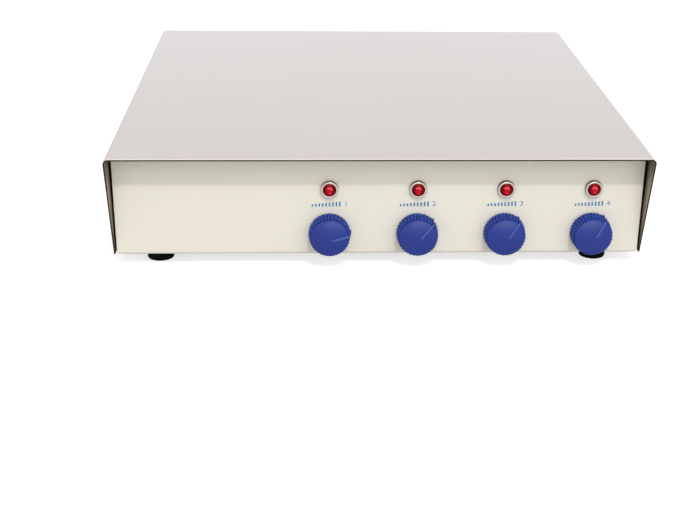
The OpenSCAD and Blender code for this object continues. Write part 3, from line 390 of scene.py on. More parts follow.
def knob_plastic(place, tone, size):
    """Moulded plastic with a glossy face, a matt side painted paler as light on it, and painted
    shade in its flutes.
    """
    sockets = moulded(place, tone, 0.34)
    x, z = place.about(KNOBS[0])
    ahead = PANEL_Y - place.axis("Y")
    taper = (size.rear_radius - size.front_radius) / (size.side - size.shoulder)
    depth = size.rear_radius - (ahead - size.gap) * taper - (x * x + z * z) ** 0.5
    # Painted shade in the flutes
    painted_flute_shade = depth.within(0.2 * MM, 0.6 * MM) * (1.0 - depth.within(0.75 * MM, 0.95 * MM))
    rim = size.gap + size.side
    face = ahead.within(rim - 0.3 * MM, rim + 0.2 * MM)
    # Painted light: the fluted side is paler than the face
    plain = face.tint(size.flute_plastic, sockets["Base Color"])
    return {
        **sockets,
        "Base Color": painted_flute_shade.tint(plain, shaded(tone, 0.6)),
        "Roughness": sockets["Roughness"] + (1.0 - face) * 0.26,
        "Specular IOR Level": 0.26,
        "Coat Weight": face * 0.74,
        "Coat Roughness": 0.25,
    }


def rubbed_pointer(place, tone, crest, size):
    """Knob plastic with a painted highlight: paler on the face, and not along the side."""
    sockets = moulded(place, tone)
    rim = size.gap + size.side
    face = (PANEL_Y - place.axis("Y")).within(rim - size.shoulder, rim)
    # Painted highlight on the pointer's face, broken up by noise
    highlight_mottle = place.noise(900.0, 2.0).within(0.2, 0.8) * 0.3 + 0.7
    sockets["Base Color"] = (face * highlight_mottle).tint(sockets["Base Color"], crest)
    return sockets


def soft_rubber(place, tone):
    """Matt rubber with dusty patches."""
    grain = place.noise(1900.0, 3.0)
    dust = place.noise(130.0, 4.0).within(0.45, 0.8)
    return {
        "Base Color": dust.tint(tone, shaded(tone, 2.2)),
        "Roughness": 0.66 + grain * 0.2,
        "Specular IOR Level": 0.05,
        "Normal": grain.bump(0.04 * MM, 0.5),
    }


def turned_metal(place, tone, rough):
    """Plated or ground metal with a close directionless grain."""
    grain = place.noise(2600.0, 3.0)
    bloom = place.cells(420.0).axis("X")
    return {
        "Base Color": (grain * 0.5 + bloom * 0.5).tint(shaded(tone, 0.9), shaded(tone, 1.05)),
        "Metallic": 1.0,
        "Roughness": rough - 0.05 + grain * 0.14,
        "Normal": grain.bump(0.01 * MM, 0.35),
    }


def chrome(place, tone, radius):
    """Bright plating on the lip; the barrel's satin side is painted dark brownish grey as shade."""
    # Painted shade on the side of the barrel
    barrel = (0.20, 0.185, 0.15)
    grain = place.noise(2200.0, 2.0)
    lip = grain.tint(shaded(tone, 0.96), shaded(tone, 1.02))
    x, z = place.about(LAMPS[0])
    side = ((x * x + z * z) ** 0.5).within(radius - 0.25 * MM, radius - 0.05 * MM)
    return {
        "Base Color": side.tint(lip, barrel),
        "Metallic": 1.0,
        "Roughness": 0.38 + grain * 0.08 + side * 0.05,
    }


def lamp_red(place, tone, radius):
    """Clear red lens over a small bulb, coloured with painted light: a bright middle as a painted
    glow, a pale painted highlight arc above it, a painted glint, and dark sides as painted shade.
    """
    # Pink of the painted highlights
    pale = (1.0, 0.17, 0.23)
    across, up = place.about(LAMPS[0])
    x, z = across / radius, up / radius
    ripple = place.noise(1100.0, 2.0)
    reach = (x * x + z * z) ** 0.5
    glow = 1.0 - ((x * x * 1.7 + z * z * 0.5) ** 0.5 + ripple * 0.5).within(0.5, 1.25)
    ring = ((x + 0.03) ** 2.0 + (z - 0.05) ** 2.0) ** 0.5
    arc = (1.0 - abs(ring - 0.36).within(0.02, 0.13)) * (z + x * 0.3).within(0.05, 0.3)
    painted_glint = 1.0 - ((x - 0.05) ** 2.0 + (z + 0.4) ** 2.0).within(0.0, 0.025)
    body = (glow * (1.0 - reach.within(0.7, 1.0) * 0.6)).tint(shaded(tone, 0.16), tone)
    return {
        "Base Color": (arc * 0.85 + painted_glint * 0.35).tint(body, pale),
        "Roughness": 0.14 + ripple * 0.06,
        "Specular IOR Level": 0.12,
    }


def printed(place, tone):
    """Screen-printed ink, a little thin in places."""
    thin = place.noise(1500.0, 3.0)
    return {
        "Base Color": thin.within(0.35, 0.75).tint(tone, shaded(tone, 1.5)),
        "Roughness": 0.45 + thin * 0.1,
    }


def sintered(place, tone):
    """Dark sintered ferrite with a granular face."""
    grain = place.cells(1500.0, "Distance")
    return {
        "Base Color": grain.tint(shaded(tone, 0.7), shaded(tone, 1.4)),
        "Roughness": 0.5 + grain * 0.2,
        "Metallic": 0.25,
        "Normal": grain.bump(0.05 * MM, 0.4),
    }


def solder_mask(place, tone):
    """Green board with lighter tracks under the mask."""
    bare, track = (0.0, 0.0, 0.0), (1.0, 1.0, 1.0)
    row = place.node("ShaderNodeTexBrick", {"offset": 0.5},
                     {"Vector": place, "Scale": 60.0, "Mortar Size": 0.05,
                      "Color1": bare, "Color2": bare, "Mortar": track}, "Fac")
    grain = place.noise(900.0, 2.0)
    return {
        "Base Color": (row * 0.8).tint(shaded(tone, 0.8), shaded(tone, 1.7)),
        "Roughness": 0.3 + grain * 0.12,
        "Normal": row.bump(0.04 * MM, 0.5),
    }


def taped_winding(place, tone):
    """Amber tape wound round the ring, turn by turn."""
    turns = 64.0
    middle = sum(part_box("transformer_toroid"), Vector()) / 2
    centred = place.node("ShaderNodeVectorMath", {"operation": "SUBTRACT"}, {0: place, 1: middle})
    wraps = place.node("ShaderNodeTexGradient", {"gradient_type": "RADIAL"},
                       {"Vector": centred}, "Fac")
    turn = (wraps * turns).math("FRACT")
    fibre = place.noise(1300.0, 2.0)
    return {
        "Base Color": (turn * 0.6 + fibre * 0.4).tint(shaded(tone, 0.55), shaded(tone, 1.1)),
        "Roughness": 0.32 + fibre * 0.12,
        "Normal": turn.bump(0.2 * MM, 0.5),
    }


def glass_tube(place, tone):
    """Thin clear glass with metal caps at both ends."""
    low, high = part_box("fuse")
    nickel = (0.70, 0.71, 0.72)
    off = place.axis("Y") - (low.y + high.y) / 2
    caps = abs(off).within(4.9 * MM, 5.1 * MM)
    dust = place.noise(800.0, 2.0)
    return {
        "Base Color": caps.tint(tone, nickel),
        "Metallic": caps,
        "Roughness": 0.08 + dust * 0.06 + caps * 0.2,
        "Alpha": 0.35 + caps * 0.65,
    }


def leads(place, tone):
    """Plain insulation with a faint sheen from the extruder."""
    draw = place.noise(500.0, 2.0)
    return {
        "Base Color": draw.tint(shaded(tone, 0.8), shaded(tone, 1.15)),
        "Roughness": 0.36 + draw * 0.12,
    }


# Modelling helpers

def clear_selection():
    """Leaves nothing selected, in object mode."""
    if bpy.context.object and bpy.context.object.mode != "OBJECT":
        bpy.ops.object.mode_set(mode="OBJECT")
    bpy.ops.object.select_all(action="DESELECT")


def pick(*pieces):
    """Selects only these objects, with the first one active."""
    clear_selection()
    for piece in pieces:
        piece.select_set(True)
    bpy.context.view_layer.objects.active = pieces[0]


@contextmanager
def editing(piece):
    """Edit mode on one piece, with all of it selected."""
    pick(piece)
    bpy.ops.object.mode_set(mode="EDIT")
    bpy.ops.mesh.select_all(action="SELECT")
    yield
    bpy.ops.object.mode_set(mode="OBJECT")


def choose(kind, test):
    """Selects the VERT, EDGE or FACE parts of the mesh in edit mode that pass a test."""
    mesh = bpy.context.object.data
    bpy.ops.mesh.select_mode(type=kind)
    bpy.ops.mesh.select_all(action="DESELECT")
    shape = bmesh.from_edit_mesh(mesh)
    for part in {"VERT": shape.verts, "EDGE": shape.edges, "FACE": shape.faces}[kind]:
        if test(part):
            part.select_set(True)
    shape.select_flush_mode()
    bmesh.update_edit_mesh(mesh)


def close_up():
    """Merges doubles and turns all faces of the mesh in edit mode outwards."""
    bpy.ops.mesh.select_all(action="SELECT")
    bpy.ops.mesh.remove_doubles(threshold=MERGE)
    bpy.ops.mesh.normals_make_consistent(inside=False)


def settle(piece, matrix=None):
    """Puts a piece in place and moves its place into its mesh."""
    if matrix is not None:
        piece.matrix_world = matrix
    pick(piece)
    bpy.ops.object.transform_apply(location=True, rotation=True, scale=True)


def modify(piece, kind, **settings):
    """Adds a modifier and applies it."""
    pick(piece)
    added = piece.modifiers.new(kind.lower(), kind)
    for name, value in settings.items():
        setattr(added, name, value)
    bpy.ops.object.modifier_apply(modifier=added.name)


def smooth(piece, angle=35.0):
    """Smooth shading except across sharp edges."""
    pick(piece)
    bpy.ops.object.shade_smooth_by_angle(angle=math.radians(angle))


def joined(name, pieces):
    """Joins pieces into the first one."""
    pick(*pieces)
    bpy.ops.object.join()
    pieces[0].name = pieces[0].data.name = name
    return pieces[0]


def copied(piece, name):
    """A copy with its own mesh."""
    pick(piece)
    bpy.ops.object.duplicate(linked=False)
    made = bpy.context.object
    made.name = made.data.name = name
    return made


def complete(piece, material, body, nodes=()):
    """Gives a finished piece its material, its body and the parts it stands for."""
    piece.data.materials.clear()
    piece.data.materials.append(material)
    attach(piece, body)
    if nodes:
        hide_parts(*nodes)


def turned(name, profile, steps=96):
    """A turned piece about Z. The profile gives radius and height in millimetres, from cap to cap,
    and ends where it began for a ring or on the axis for a point."""
    points = [(r * MM, z * MM) for r, z in profile]
    ring = points[0] == points[-1]
    clear_selection()
    radius, height = points[0]
    bpy.ops.mesh.primitive_circle_add(vertices=steps, radius=radius, location=(0, 0, height),
                                      fill_type="NOTHING" if ring else "NGON")
    piece = bpy.context.object
    settle(piece)
    with editing(piece):
        for (r0, z0), (r1, z1) in zip(points, points[1:]):
            bpy.ops.mesh.extrude_edges_move(TRANSFORM_OT_translate={"value": (0, 0, z1 - z0)})
            if r1 == 0.0:
                bpy.ops.mesh.merge(type="CENTER")
            elif r1 != r0:
                bpy.ops.transform.resize(value=(r1 / r0, r1 / r0, 1), center_override=(0, 0, z1))
        close_up()
    piece.name = piece.data.name = name
    return piece


def on_front(x, z):
    """The matrix that sets a piece drawn on the XY plane on the front panel, facing the user."""
    return Matrix.Translation((x, PANEL_Y, z)) @ Matrix.Rotation(math.pi / 2, 4, "X")


def refined(node, name, edge, angle=40.0, pierced=False, clamped=True):
    """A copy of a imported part, merged and cleaned, with its hard edges softened. Flat faces become
    one face each, and in a part that is pierced by holes they stay in quads."""
    flat = math.radians(0.5)
    made = NODES[node].copy()
    made.data = NODES[node].data.copy()
    made.parent = None
    for key in list(made.keys()):
        del made[key]
    bpy.context.scene.collection.objects.link(made)
    made.hide_render = made.hide_viewport = False
    with editing(made):
        bpy.ops.mesh.customdata_custom_splitnormals_clear()
        bpy.ops.mesh.remove_doubles(threshold=MERGE)
        if pierced:
            bpy.ops.mesh.tris_convert_to_quads(face_threshold=flat, shape_threshold=math.pi)
        else:
            bpy.ops.mesh.dissolve_limited(angle_limit=flat)
    smooth(made, angle)
    modify(made, "BEVEL", width=edge, segments=2, limit_method="ANGLE",
           angle_limit=math.radians(angle), use_clamp_overlap=clamped,
           miter_outer="MITER_ARC", harden_normals=True)
    made.name = made.data.name = name
    return made


# Pieces

class STIRRER_OT_cover(bpy.types.Operator):
    """Folds the stainless cover from one sheet, with raked side plates"""

    bl_idname = "stirrer.cover"
    bl_label = "Cover"

    def execute(self, context):
        size = context.scene.stirrer_cover
        low, high = COVER_LOW, COVER_HIGH
        clear_selection()
        bpy.ops.mesh.primitive_cube_add(size=1, location=(low + high) / 2, scale=high - low)
        cover = bpy.context.object
        cover.name = cover.data.name = "cover_sheet"
        settle(cover)
        shoulder = high.z - size.fold
        with editing(cover):
            choose("FACE", lambda f: f.normal.z < -0.5 or abs(f.normal.y) > 0.5)
            bpy.ops.mesh.delete(type="FACE")
            choose("EDGE", lambda e: all(v.co.z > high.z - MM for v in e.verts)
                   and abs(e.verts[0].co.x - e.verts[1].co.x) < MM)
            bpy.ops.mesh.bevel(offset=size.fold, offset_type="OFFSET", segments=10, profile=0.5,
                               affect="EDGES")
            for side in (-1, 1):
                bpy.ops.mesh.select_all(action="SELECT")
                bpy.ops.mesh.bisect(plane_co=(0, -side * low.y, shoulder),
                                    plane_no=(0, side * (shoulder - low.z), -size.rake),
                                    clear_outer=True)
            close_up()
        modify(cover, "SOLIDIFY", thickness=size.sheet, offset=-1.0, use_even_offset=True)
        modify(cover, "BEVEL", width=size.edge, segments=2, limit_method="ANGLE",
               angle_limit=math.radians(50))
        smooth(cover, 30)
        modify(cover, "WEIGHTED_NORMAL", keep_sharp=True)
        steel = finish("stainless_sheet", stainless, size.steel, size)
        complete(cover, steel, "housing", ["top_cover"])
        return {"FINISHED"}


class STIRRER_OT_chassis(bpy.types.Operator):
    """Softens the chassis sheet's edges and paints it"""

    bl_idname = "stirrer.chassis"
    bl_label = "Chassis"

    def execute(self, context):
        size = context.scene.stirrer_chassis
        chassis = refined("base_chassis", "chassis_sheet", size.edge, 50, pierced=True)
        paint = finish("cream_powder_coat", powder_coat, size.paint)
        complete(chassis, paint, "housing", ["base_chassis"])
        return {"FINISHED"}


class STIRRER_OT_knobs(bpy.types.Operator):
    """Moulds one fluted knob with a raised pointer and copies it to each position"""

    bl_idname = "stirrer.knobs"
    bl_label = "Knobs"

    # Points round each flute, its depths from the middle outwards, and the face's rings from its
    # rim inwards, in millimetres
    samples = 8
    flute_depths = (0.62, 0.56, 0.35, 0.07)
    face_steps = (0.25, 1, 2.2, 4, 6, 8, 10, 12)

    def execute(self, context):
        size = context.scene.stirrer_knob
        blue = finish("blue_moulding", knob_plastic, size.plastic, size)
        highlit_pointer = finish("pointer_highlight_moulding", rubbed_pointer, size.plastic, size.pointer_plastic, size)
        parts = ((self.body(size), "moulding", blue), (self.pointer(size), "pointer", highlit_pointer))
        for piece, part, material in parts:
            smooth(piece, 32)
            for n, centre, turn in zip(POSITIONS, KNOBS, size.turn):
                made = copied(piece, f"speed_knob_{n}_{part}")
                settle(made, on_front(centre.x, centre.z) @ Matrix.Rotation(-turn, 4, "Z"))
                complete(made, material, f"speed_knob_{n}", [f"knob_{n}"])
            bpy.data.objects.remove(piece)
        return {"FINISHED"}

    def sphere(self, size):
        """Radius of the domed face and height of its centre."""
        rim = size.front_radius - size.shoulder
        radius = (rim ** 2 + size.dome ** 2) / (2 * size.dome)
        return radius, size.gap + size.side + size.dome - radius

    def face(self, size, r):
        """Height of the domed face at a radius."""
        radius, centre = self.sphere(size)
        return centre + math.sqrt(radius ** 2 - r ** 2)

    def body(self, size):
        """The fluted body, drawn out ring by ring from the bottom of its shaft hole to the face."""
        front, rear, gap = size.front_radius, size.rear_radius, size.gap
        top = gap + size.side
        ledge, rim = top - size.shoulder, front - size.shoulder
        hole, hole_depth, wall, crown = 3.05 * MM, 6.3 * MM, 12 * MM, 6.6 * MM
        hollow = top - crown
        back = [(hole, hollow + hole_depth), (hole, hollow), (wall, hollow), (wall, gap)]
        side = [(rear - 0.4 * MM, gap), (rear - 0.05 * MM, gap + 0.35 * MM),
                (front + 0.02 * MM, ledge - 0.25 * MM), (front - 0.15 * MM, ledge + 0.12 * MM)]
        dome = [(front - 0.7 * MM, ledge + 0.68 * MM), (rim + 0.14 * MM, top - 0.15 * MM)]
        dome += [(r, self.face(size, r)) for r in (rim - step * MM for step in self.face_steps)]
        rings = [*back, *side, *dome]
        clear_selection()
        bpy.ops.mesh.primitive_circle_add(vertices=size.flutes * self.samples, radius=hole,
                                          fill_type="NGON", location=(0, 0, rings[0][1]))
        knob = bpy.context.object
        settle(knob)
        with editing(knob):
            for count, ((r0, z0), (r1, z1)) in enumerate(zip(rings, rings[1:]), 1):
                bpy.ops.mesh.extrude_edges_move(TRANSFORM_OT_translate={"value": (0, 0, z1 - z0)})
                bpy.ops.transform.resize(value=(r1 / r0, r1 / r0, 1), center_override=(0, 0, z1))
                if count == len(back):
                    self.flute(size, r1, z1, 1)
                elif count == len(back) + len(side):
                    self.flute(size, r1, z1, -1)
            rise = self.face(size, 0) - z1
            bpy.ops.mesh.extrude_edges_move(TRANSFORM_OT_translate={"value": (0, 0, rise)})
            bpy.ops.mesh.merge(type="CENTER")
            close_up()
        return knob

    def flute(self, size, r, z, sense):
        """Draws the newest ring's flutes in, or lets them out again."""
        step = math.tau / size.flutes

        def newest(v):
            return abs(v.co.z - z) < 0.01 * MM and abs(v.co.xy.length - r) < 0.8 * MM

        def off_middle(v):
            share = math.atan2(v.co.y, v.co.x) / step % 1.0
            return round(self.samples * abs(share - 0.5))

        for phase, depth in enumerate(self.flute_depths):
            choose("VERT", lambda v: newest(v) and phase == off_middle(v))
            share = (1 - depth * MM / size.rear_radius) ** sense
            bpy.ops.transform.resize(value=(share, share, 1), center_override=(0, 0, z))
        choose("VERT", newest)

    def pointer(self, size):
        """A round ridge swept out over the face, round the shoulder and back along the side."""
        ball, centre = self.sphere(size)
        inner_end, bend, bend_inset, rear_gap = 1.5 * MM, 3 * MM, 2.1 * MM, 0.4 * MM
        half = size.pointer_width / 2
        sunk = half - size.pointer_height
        begin = math.asin(inner_end / ball)
        turn = math.asin((size.front_radius - bend_inset) / ball)
        slope = math.atan((size.rear_radius - size.front_radius) / (size.side - size.shoulder))
        knee = (0, (ball - bend) * math.sin(turn), centre + (ball - bend) * math.cos(turn))
        drop = knee[2] + (bend - sunk) * math.sin(slope) - size.gap - rear_gap
        run = drop / math.cos(slope)
        clear_selection()
        bpy.ops.mesh.primitive_circle_add(vertices=20, radius=half, fill_type="NGON")
        pointer = bpy.context.object
        about = Matrix.Translation((size.pointer_side, 0, centre)) @ Matrix.Rotation(-begin, 4, "X")
        settle(pointer, about @ Matrix.Translation((0, 0, ball - sunk))
               @ Matrix.Rotation(math.pi / 2, 4, "X"))
        with editing(pointer):
            bpy.ops.mesh.spin(steps=12, angle=turn - begin, center=(0, 0, centre), axis=(1, 0, 0))
            bpy.ops.mesh.spin(steps=10, angle=math.pi / 2 - slope - turn, center=knee,
                              axis=(1, 0, 0))
            bpy.ops.mesh.extrude_region_move(TRANSFORM_OT_translate={
                "value": (0, run * math.sin(slope), -run * math.cos(slope))})
            close_up()
        return pointer


class STIRRER_OT_lamps(bpy.types.Operator):
    """Turns one bezel and one lens and copies them to each position"""

    bl_idname = "stirrer.lamps"
    bl_label = "Lamps"

    # Radii of the lens's rings, in millimetres
    lens_steps = (4.6, 4.1, 3.4, 2.6, 1.7, 0.8)

    def execute(self, context):
        size = context.scene.stirrer_lamp
        r, h, lens_r = (v / MM for v in (size.bezel_radius, size.bezel_height, size.lens_radius))
        bore, thread, behind, seat = 2.55, 4.5, -13, h - 2.2
        bezel = turned("lamp_bezel_ring", [
            (bore, behind), (thread, behind), (thread, 0), (r, 0), (r, h - 1.1),
            (r - 0.12, h - 0.6), (r - 0.4, h - 0.2), (r - 0.75, h), (lens_r + 0.45, h),
            (lens_r + 0.15, h - 0.15), (lens_r + 0.05, h - 0.5), (lens_r + 0.05, seat),
            (bore, seat), (bore, behind)])
        dome = size.lens_dome / MM
        ball = (lens_r ** 2 + dome ** 2) / (2 * dome)
        stem, stem_end = 2.5, h - 9.2
        rounds = [(a, h + dome - ball + math.sqrt(ball ** 2 - a ** 2)) for a in self.lens_steps]
        lens = turned("lamp_lens_cap", [
            (stem, stem_end), (stem, seat), (lens_r, seat), (lens_r, h - 0.05), *rounds,
            (0, h + dome)])
        plated = finish("bezel_plating", chrome, size.chrome, size.bezel_radius)
        red = finish("red_lens", lamp_red, size.red, size.lens_radius)
        for piece, part, material, slot in ((bezel, "lamp_bezel", plated, "bezel_chrome"),
                                            (lens, "lamp_lens", red, "lens_red")):
            smooth(piece)
            for n, centre in zip(POSITIONS, LAMPS):
                made = copied(piece, f"{part}_{n}_turned")
                settle(made, on_front(centre.x, centre.z))
                complete(made, material, "housing", [f"{part}_{n}"])
            bpy.data.objects.remove(piece)
        return {"FINISHED"}


class STIRRER_OT_marks(bpy.types.Operator):
    """Prints a rising scale and the position's number between each lamp and its knob"""

    bl_idname = "stirrer.marks"
    bl_label = "Printed marks"

    # Thickness of the ink, room for the number at the end of its scale, and a digit's share of
    # its type size
    depth = 0.05 * MM
    number_room = 5 * MM
    number_inset = 1.6 * MM
    digit_share = 0.7

    def execute(self, context):
        size = context.scene.stirrer_mark
        ink = finish("blue_print", printed, size.ink)
        pitch = (size.width - self.number_room) / size.ticks
        for n, lamp in zip(POSITIONS, LAMPS):
            pieces = [self.number(str(n), size)]
            pieces[0].location.x = size.width / 2 - self.number_inset
            settle(pieces[0])
            for k in range(size.ticks):
                tall = size.height * (0.5 + 0.5 * k / (size.ticks - 1))
                pieces.append(self.tick(size, tall, (k + 0.5) * pitch - size.width / 2))
            marks = joined(f"speed_scale_{n}", pieces)
            settle(marks, on_front(lamp.x, lamp.z - size.drop))
            complete(marks, ink, "housing")
        return {"FINISHED"}

    def number(self, text, size):
        """A printed number about the middle of its line."""
        clear_selection()
        bpy.ops.object.text_add()
        made = bpy.context.object
        made.data.body = text
        made.data.size = size.height / self.digit_share
        made.data.extrude = self.depth / 2
        made.data.align_x = made.data.align_y = "CENTER"
        pick(made)
        bpy.ops.object.convert(target="MESH")
        made.location.z = self.depth / 2
        settle(made)
        return made

    def tick(self, size, tall, x):
        """A printed tick that stands on the line's foot."""
        clear_selection()
        bpy.ops.mesh.primitive_plane_add(size=1, location=(x, (tall - size.height) / 2, 0))
        made = bpy.context.object
        made.scale = (size.stroke, tall, 1)
        settle(made)
        with editing(made):
            bpy.ops.mesh.extrude_region_move(TRANSFORM_OT_translate={"value": (0, 0, self.depth)})
            close_up()
        modify(made, "BEVEL", width=0.3 * self.depth, segments=2, affect="EDGES",
               limit_method="ANGLE")
        return made


class STIRRER_OT_feet(bpy.types.Operator):
    """Turns one rubber foot and copies it under each corner"""

    bl_idname = "stirrer.feet"
    bl_label = "Feet"

    def execute(self, context):
        size = context.scene.stirrer_foot
        top, base, recess = (v / MM for v in (size.top_radius, size.base_radius, size.recess))
        high, hole, head = FOOT_HIGH.z / MM, 2.2, 4.4
        foot = turned("foot", [
            (hole, high), (hole, recess), (head, recess), (head, 0.5), (head + 0.4, 0.0),
            (base - 0.7, 0.0), (base - 0.2, 0.2), (base + 0.05, 0.7), (top - 0.1, high - 0.9),
            (top - 0.15, high - 0.3), (top - 0.5, high), (hole, high)], 64)
        smooth(foot)
        rubber = finish("black_foot_rubber", soft_rubber, size.rubber)
        reach = size.top_radius
        for name, x, y in (("front_left", FOOT_LOW.x + reach, FOOT_LOW.y + reach),
                           ("front_right", FOOT_HIGH.x - reach, FOOT_LOW.y + reach),
                           ("rear_left", FOOT_LOW.x + reach, FOOT_HIGH.y - reach),
                           ("rear_right", FOOT_HIGH.x - reach, FOOT_HIGH.y - reach)):
            made = copied(foot, f"foot_{name}")
            settle(made, Matrix.Translation((x, y, 0)))
            complete(made, rubber, "housing", ["rubber_feet"])
        bpy.data.objects.remove(foot)
        return {"FINISHED"}


class STIRRER_OT_inlet(bpy.types.Operator):
    """Softens the moulded inlet, its rocker, its fuse drawer and the outside screws"""

    bl_idname = "stirrer.inlet"
    bl_label = "Power inlet"

    def execute(self, context):
        size = context.scene.stirrer_inlet
        black = finish("black_moulding", moulded, size.plastic, 0.38)
        red = finish("red_rocker", moulded, size.rocker, 0.28)
        zinc = finish("zinc_screw", turned_metal, (0.62, 0.63, 0.65), 0.28)
        inlet = refined("power_inlet", "inlet_moulding", size.edge, pierced=True,
                        clamped=False)
        complete(inlet, black, "housing", ["power_inlet"])
        drawer = refined("fuse_drawer", "fuse_drawer_moulding", size.edge * 0.7)
        complete(drawer, black, "fuse_carrier", ["fuse_drawer"])
        rocker = refined("rocker", "rocker_moulding", size.edge)
        complete(rocker, red, "power_rocker", ["rocker"])
        screws = refined("cover_screws", "cover_screw_heads", 0.12 * MM, 28)
        complete(screws, zinc, "housing", ["cover_screws"])
        screws = refined("inlet_screws", "inlet_screw_heads", 0.1 * MM, 28)
        complete(screws, zinc, "housing", ["inlet_screws"])
        return {"FINISHED"}


class STIRRER_OT_inner_parts(bpy.types.Operator):
    """Gives the parts inside the housing their finishes"""

    bl_idname = "stirrer.inner_parts"
    bl_label = "Inner parts"

    def execute(self, context):
        dark = (0.035, 0.035, 0.037)
        finishes = (
            (finish("zinc_plate", turned_metal, (0.60, 0.61, 0.63), 0.32),
             ["foot_screws", "motor_screws", "panel_nuts", "m3_screws", "motor_rail_front",
              "motor_rail_rear", "transformer_clamp"]),
            (finish("motor_can", turned_metal, (0.48, 0.49, 0.50), 0.36),
             [f"motor_{n}" for n in POSITIONS]),
            (finish("ground_shaft", turned_metal, (0.66, 0.66, 0.66), 0.2),
             [f"{part}_{n}" for part in ("motor_shaft", "pot_shaft") for n in POSITIONS]),
            (finish("mill_aluminium", turned_metal, (0.70, 0.71, 0.72), 0.4),
             [f"magnet_arm_{n}" for n in POSITIONS] + ["heat_sink"]),
            (finish("ferrite_magnet", sintered, dark), [f"magnets_{n}" for n in POSITIONS]),
            (finish("dark_moulding", moulded, dark, 0.45),
             [f"potentiometer_{n}" for n in POSITIONS] + ["board_components"]),
            (finish("pad_rubber", soft_rubber, (0.012, 0.012, 0.013)), ["transformer_pads"]),
            (finish("plain_brass", turned_metal, (0.62, 0.44, 0.14), 0.3),
             ["inlet_pins", "board_standoffs"]),
            (finish("fuse_tube", glass_tube, (0.75, 0.82, 0.82)), ["fuse"]),
            (finish("amber_tape", taped_winding, (0.48, 0.27, 0.05)), ["transformer_toroid"]),
            (finish("board_mask", solder_mask, (0.01, 0.10, 0.035)), ["control_board"]),
            (finish("red_insulation", leads, (0.34, 0.012, 0.012)), ["wiring_loom"]),
        )
        for material, names in finishes:
            for name in names:
                mesh = NODES[name].data
                mesh.materials.clear()
                mesh.materials.append(material)
        return {"FINISHED"}


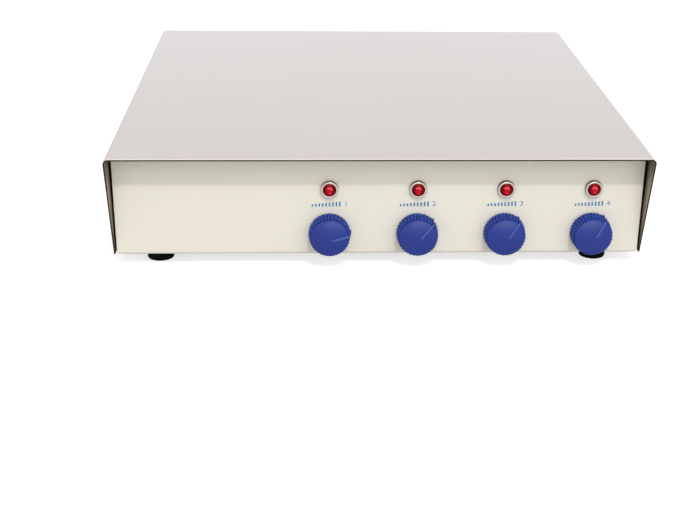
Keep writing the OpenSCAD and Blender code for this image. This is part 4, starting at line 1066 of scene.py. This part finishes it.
class STIRRER_OT_stage(bpy.types.Operator):
    """Sets the floor, the background, the lamps and the camera"""

    bl_idname = "stirrer.stage"
    bl_label = "Stage"

    def execute(self, context):
        size = context.scene.stirrer_stage
        context.scene.view_settings.view_transform = "Standard"
        self.floor(size)
        self.world(context, size)
        self.lamp("key_lamp", size.key, size.key_size, size.key_size, size.key_place, True)
        self.lamp("soft_box", size.soft, size.soft_size, size.soft_size, size.soft_place, False)
        self.lamp("low_strip", size.strip, size.strip_width, size.strip_height, size.strip_place,
                  True)
        self.camera(context, size)
        return {"FINISHED"}

    def rays(self, start):
        """Whether the camera looks straight at it, or by way of metal or glass."""
        return [start.node("ShaderNodeLightPath", output=f"Is {kind} Ray")
                for kind in ("Camera", "Glossy", "Transmission")]

    def floor(self, size):
        """A wide floor, white to the camera except where the object shades it."""
        clear_selection()
        bpy.ops.mesh.primitive_plane_add(size=12, location=(0, 0, 0))
        made = bpy.context.object
        made.name = "studio_floor"
        paper = bpy.data.materials.new("floor_paper")
        paper.use_nodes = True
        shader = paper.node_tree.nodes["Principled BSDF"]
        shader.inputs["Base Color"].default_value = (*size.floor, 1.0)
        shader.inputs["Roughness"].default_value = 0.9
        shader.inputs["Specular IOR Level"].default_value = 0.0
        shader.inputs["Emission Color"].default_value = (1.0, 1.0, 1.0, 1.0)
        camera, metal, glass = self.rays(Signal(paper.node_tree))
        glow = camera * size.floor_glow + metal.math("MAXIMUM", glass) * size.mirrored_glow
        camera.fill(shader.inputs["Emission Strength"], glow)
        made.data.materials.append(paper)

    def world(self, context, size):
        """A white background that lights the object more dimly, with a warm tinge."""
        warm, white = (1.0, 0.975, 0.96), (1.0, 1.0, 1.0)
        world = bpy.data.worlds.new("studio")
        context.scene.world = world
        world.use_nodes = True
        tree = world.node_tree
        tree.nodes.clear()
        start = Signal(tree)
        camera, metal, glass = self.rays(start)
        shown = camera.math("MAXIMUM", metal).math("MAXIMUM", glass)
        backdrop = start.node("ShaderNodeBackground", None, {
            "Color": shown.tint(warm, white),
            "Strength": size.ambient + shown * (1.0 - size.ambient)})
        shown.fill(tree.nodes.new("ShaderNodeOutputWorld").inputs["Surface"], backdrop)

    def lamp(self, name, watts, width, tall, offset, mirrored):
        """A flat lamp aimed at the panel, which metal and gloss may mirror or not."""
        aim = Vector((0.0, PANEL_Y, 0.05))
        clear_selection()
        bpy.ops.object.light_add(type="AREA", location=aim + Vector(offset))
        made = bpy.context.object
        made.name = name
        made.data.energy = watts
        made.data.shape = "RECTANGLE"
        made.data.size = width
        made.data.size_y = tall
        made.visible_glossy = mirrored
        made.rotation_euler = (aim - made.location).to_track_quat("-Z", "Y").to_euler()

    def camera(self, context, size):
        """The photograph's camera."""
        level = math.cos(size.pitch)
        ahead = Vector((math.sin(size.yaw) * level, math.cos(size.yaw) * level,
                        -math.sin(size.pitch)))
        right = Vector((math.cos(size.yaw), -math.sin(size.yaw), 0.0))
        up = right.cross(ahead)
        lean, rise = math.cos(size.roll), math.sin(size.roll)
        turn = Matrix((right * lean + up * rise, up * lean - right * rise, -ahead)).transposed()
        clear_selection()
        bpy.ops.object.camera_add()
        made = bpy.context.object
        made.name = "photo_camera"
        made.matrix_world = Matrix.Translation(size.camera) @ turn.to_4x4()
        made.data.lens = size.lens
        made.data.sensor_width = size.sensor
        made.data.shift_x, made.data.shift_y = size.shift
        context.scene.camera = made


# Sidebar and registration

OPERATORS = (STIRRER_OT_cover, STIRRER_OT_chassis, STIRRER_OT_knobs, STIRRER_OT_lamps,
             STIRRER_OT_marks, STIRRER_OT_feet, STIRRER_OT_inlet, STIRRER_OT_inner_parts,
             STIRRER_OT_stage)
SETTINGS = {"stirrer_cover": CoverSettings, "stirrer_chassis": ChassisSettings,
            "stirrer_knob": KnobSettings, "stirrer_lamp": LampSettings,
            "stirrer_mark": MarkSettings, "stirrer_foot": FootSettings,
            "stirrer_inlet": InletSettings, "stirrer_stage": StageSettings}


class STIRRER_PT_panel(bpy.types.Panel):
    """Lists the stirrer's operators and their settings"""

    bl_idname = "STIRRER_PT_panel"
    bl_label = "Magnetic stirrer"
    bl_space_type = "VIEW_3D"
    bl_region_type = "UI"
    bl_category = "Stirrer"

    def draw(self, context):
        for operator in OPERATORS:
            self.layout.operator(operator.bl_idname)
        for name, group in SETTINGS.items():
            box = self.layout.box()
            for field in group.__annotations__:
                box.prop(getattr(context.scene, name), field)


def register():
    for made in (*SETTINGS.values(), *OPERATORS, STIRRER_PT_panel):
        bpy.utils.register_class(made)
    for name, group in SETTINGS.items():
        setattr(bpy.types.Scene, name, PointerProperty(type=group))


def unregister():
    for name in SETTINGS:
        delattr(bpy.types.Scene, name)
    for made in reversed((*SETTINGS.values(), *OPERATORS, STIRRER_PT_panel)):
        bpy.utils.unregister_class(made)


def main():
    register()
    for operator in OPERATORS:
        group, name = operator.bl_idname.split(".")
        getattr(getattr(bpy.ops, group), name)()


if __name__ == "__main__":
    main()
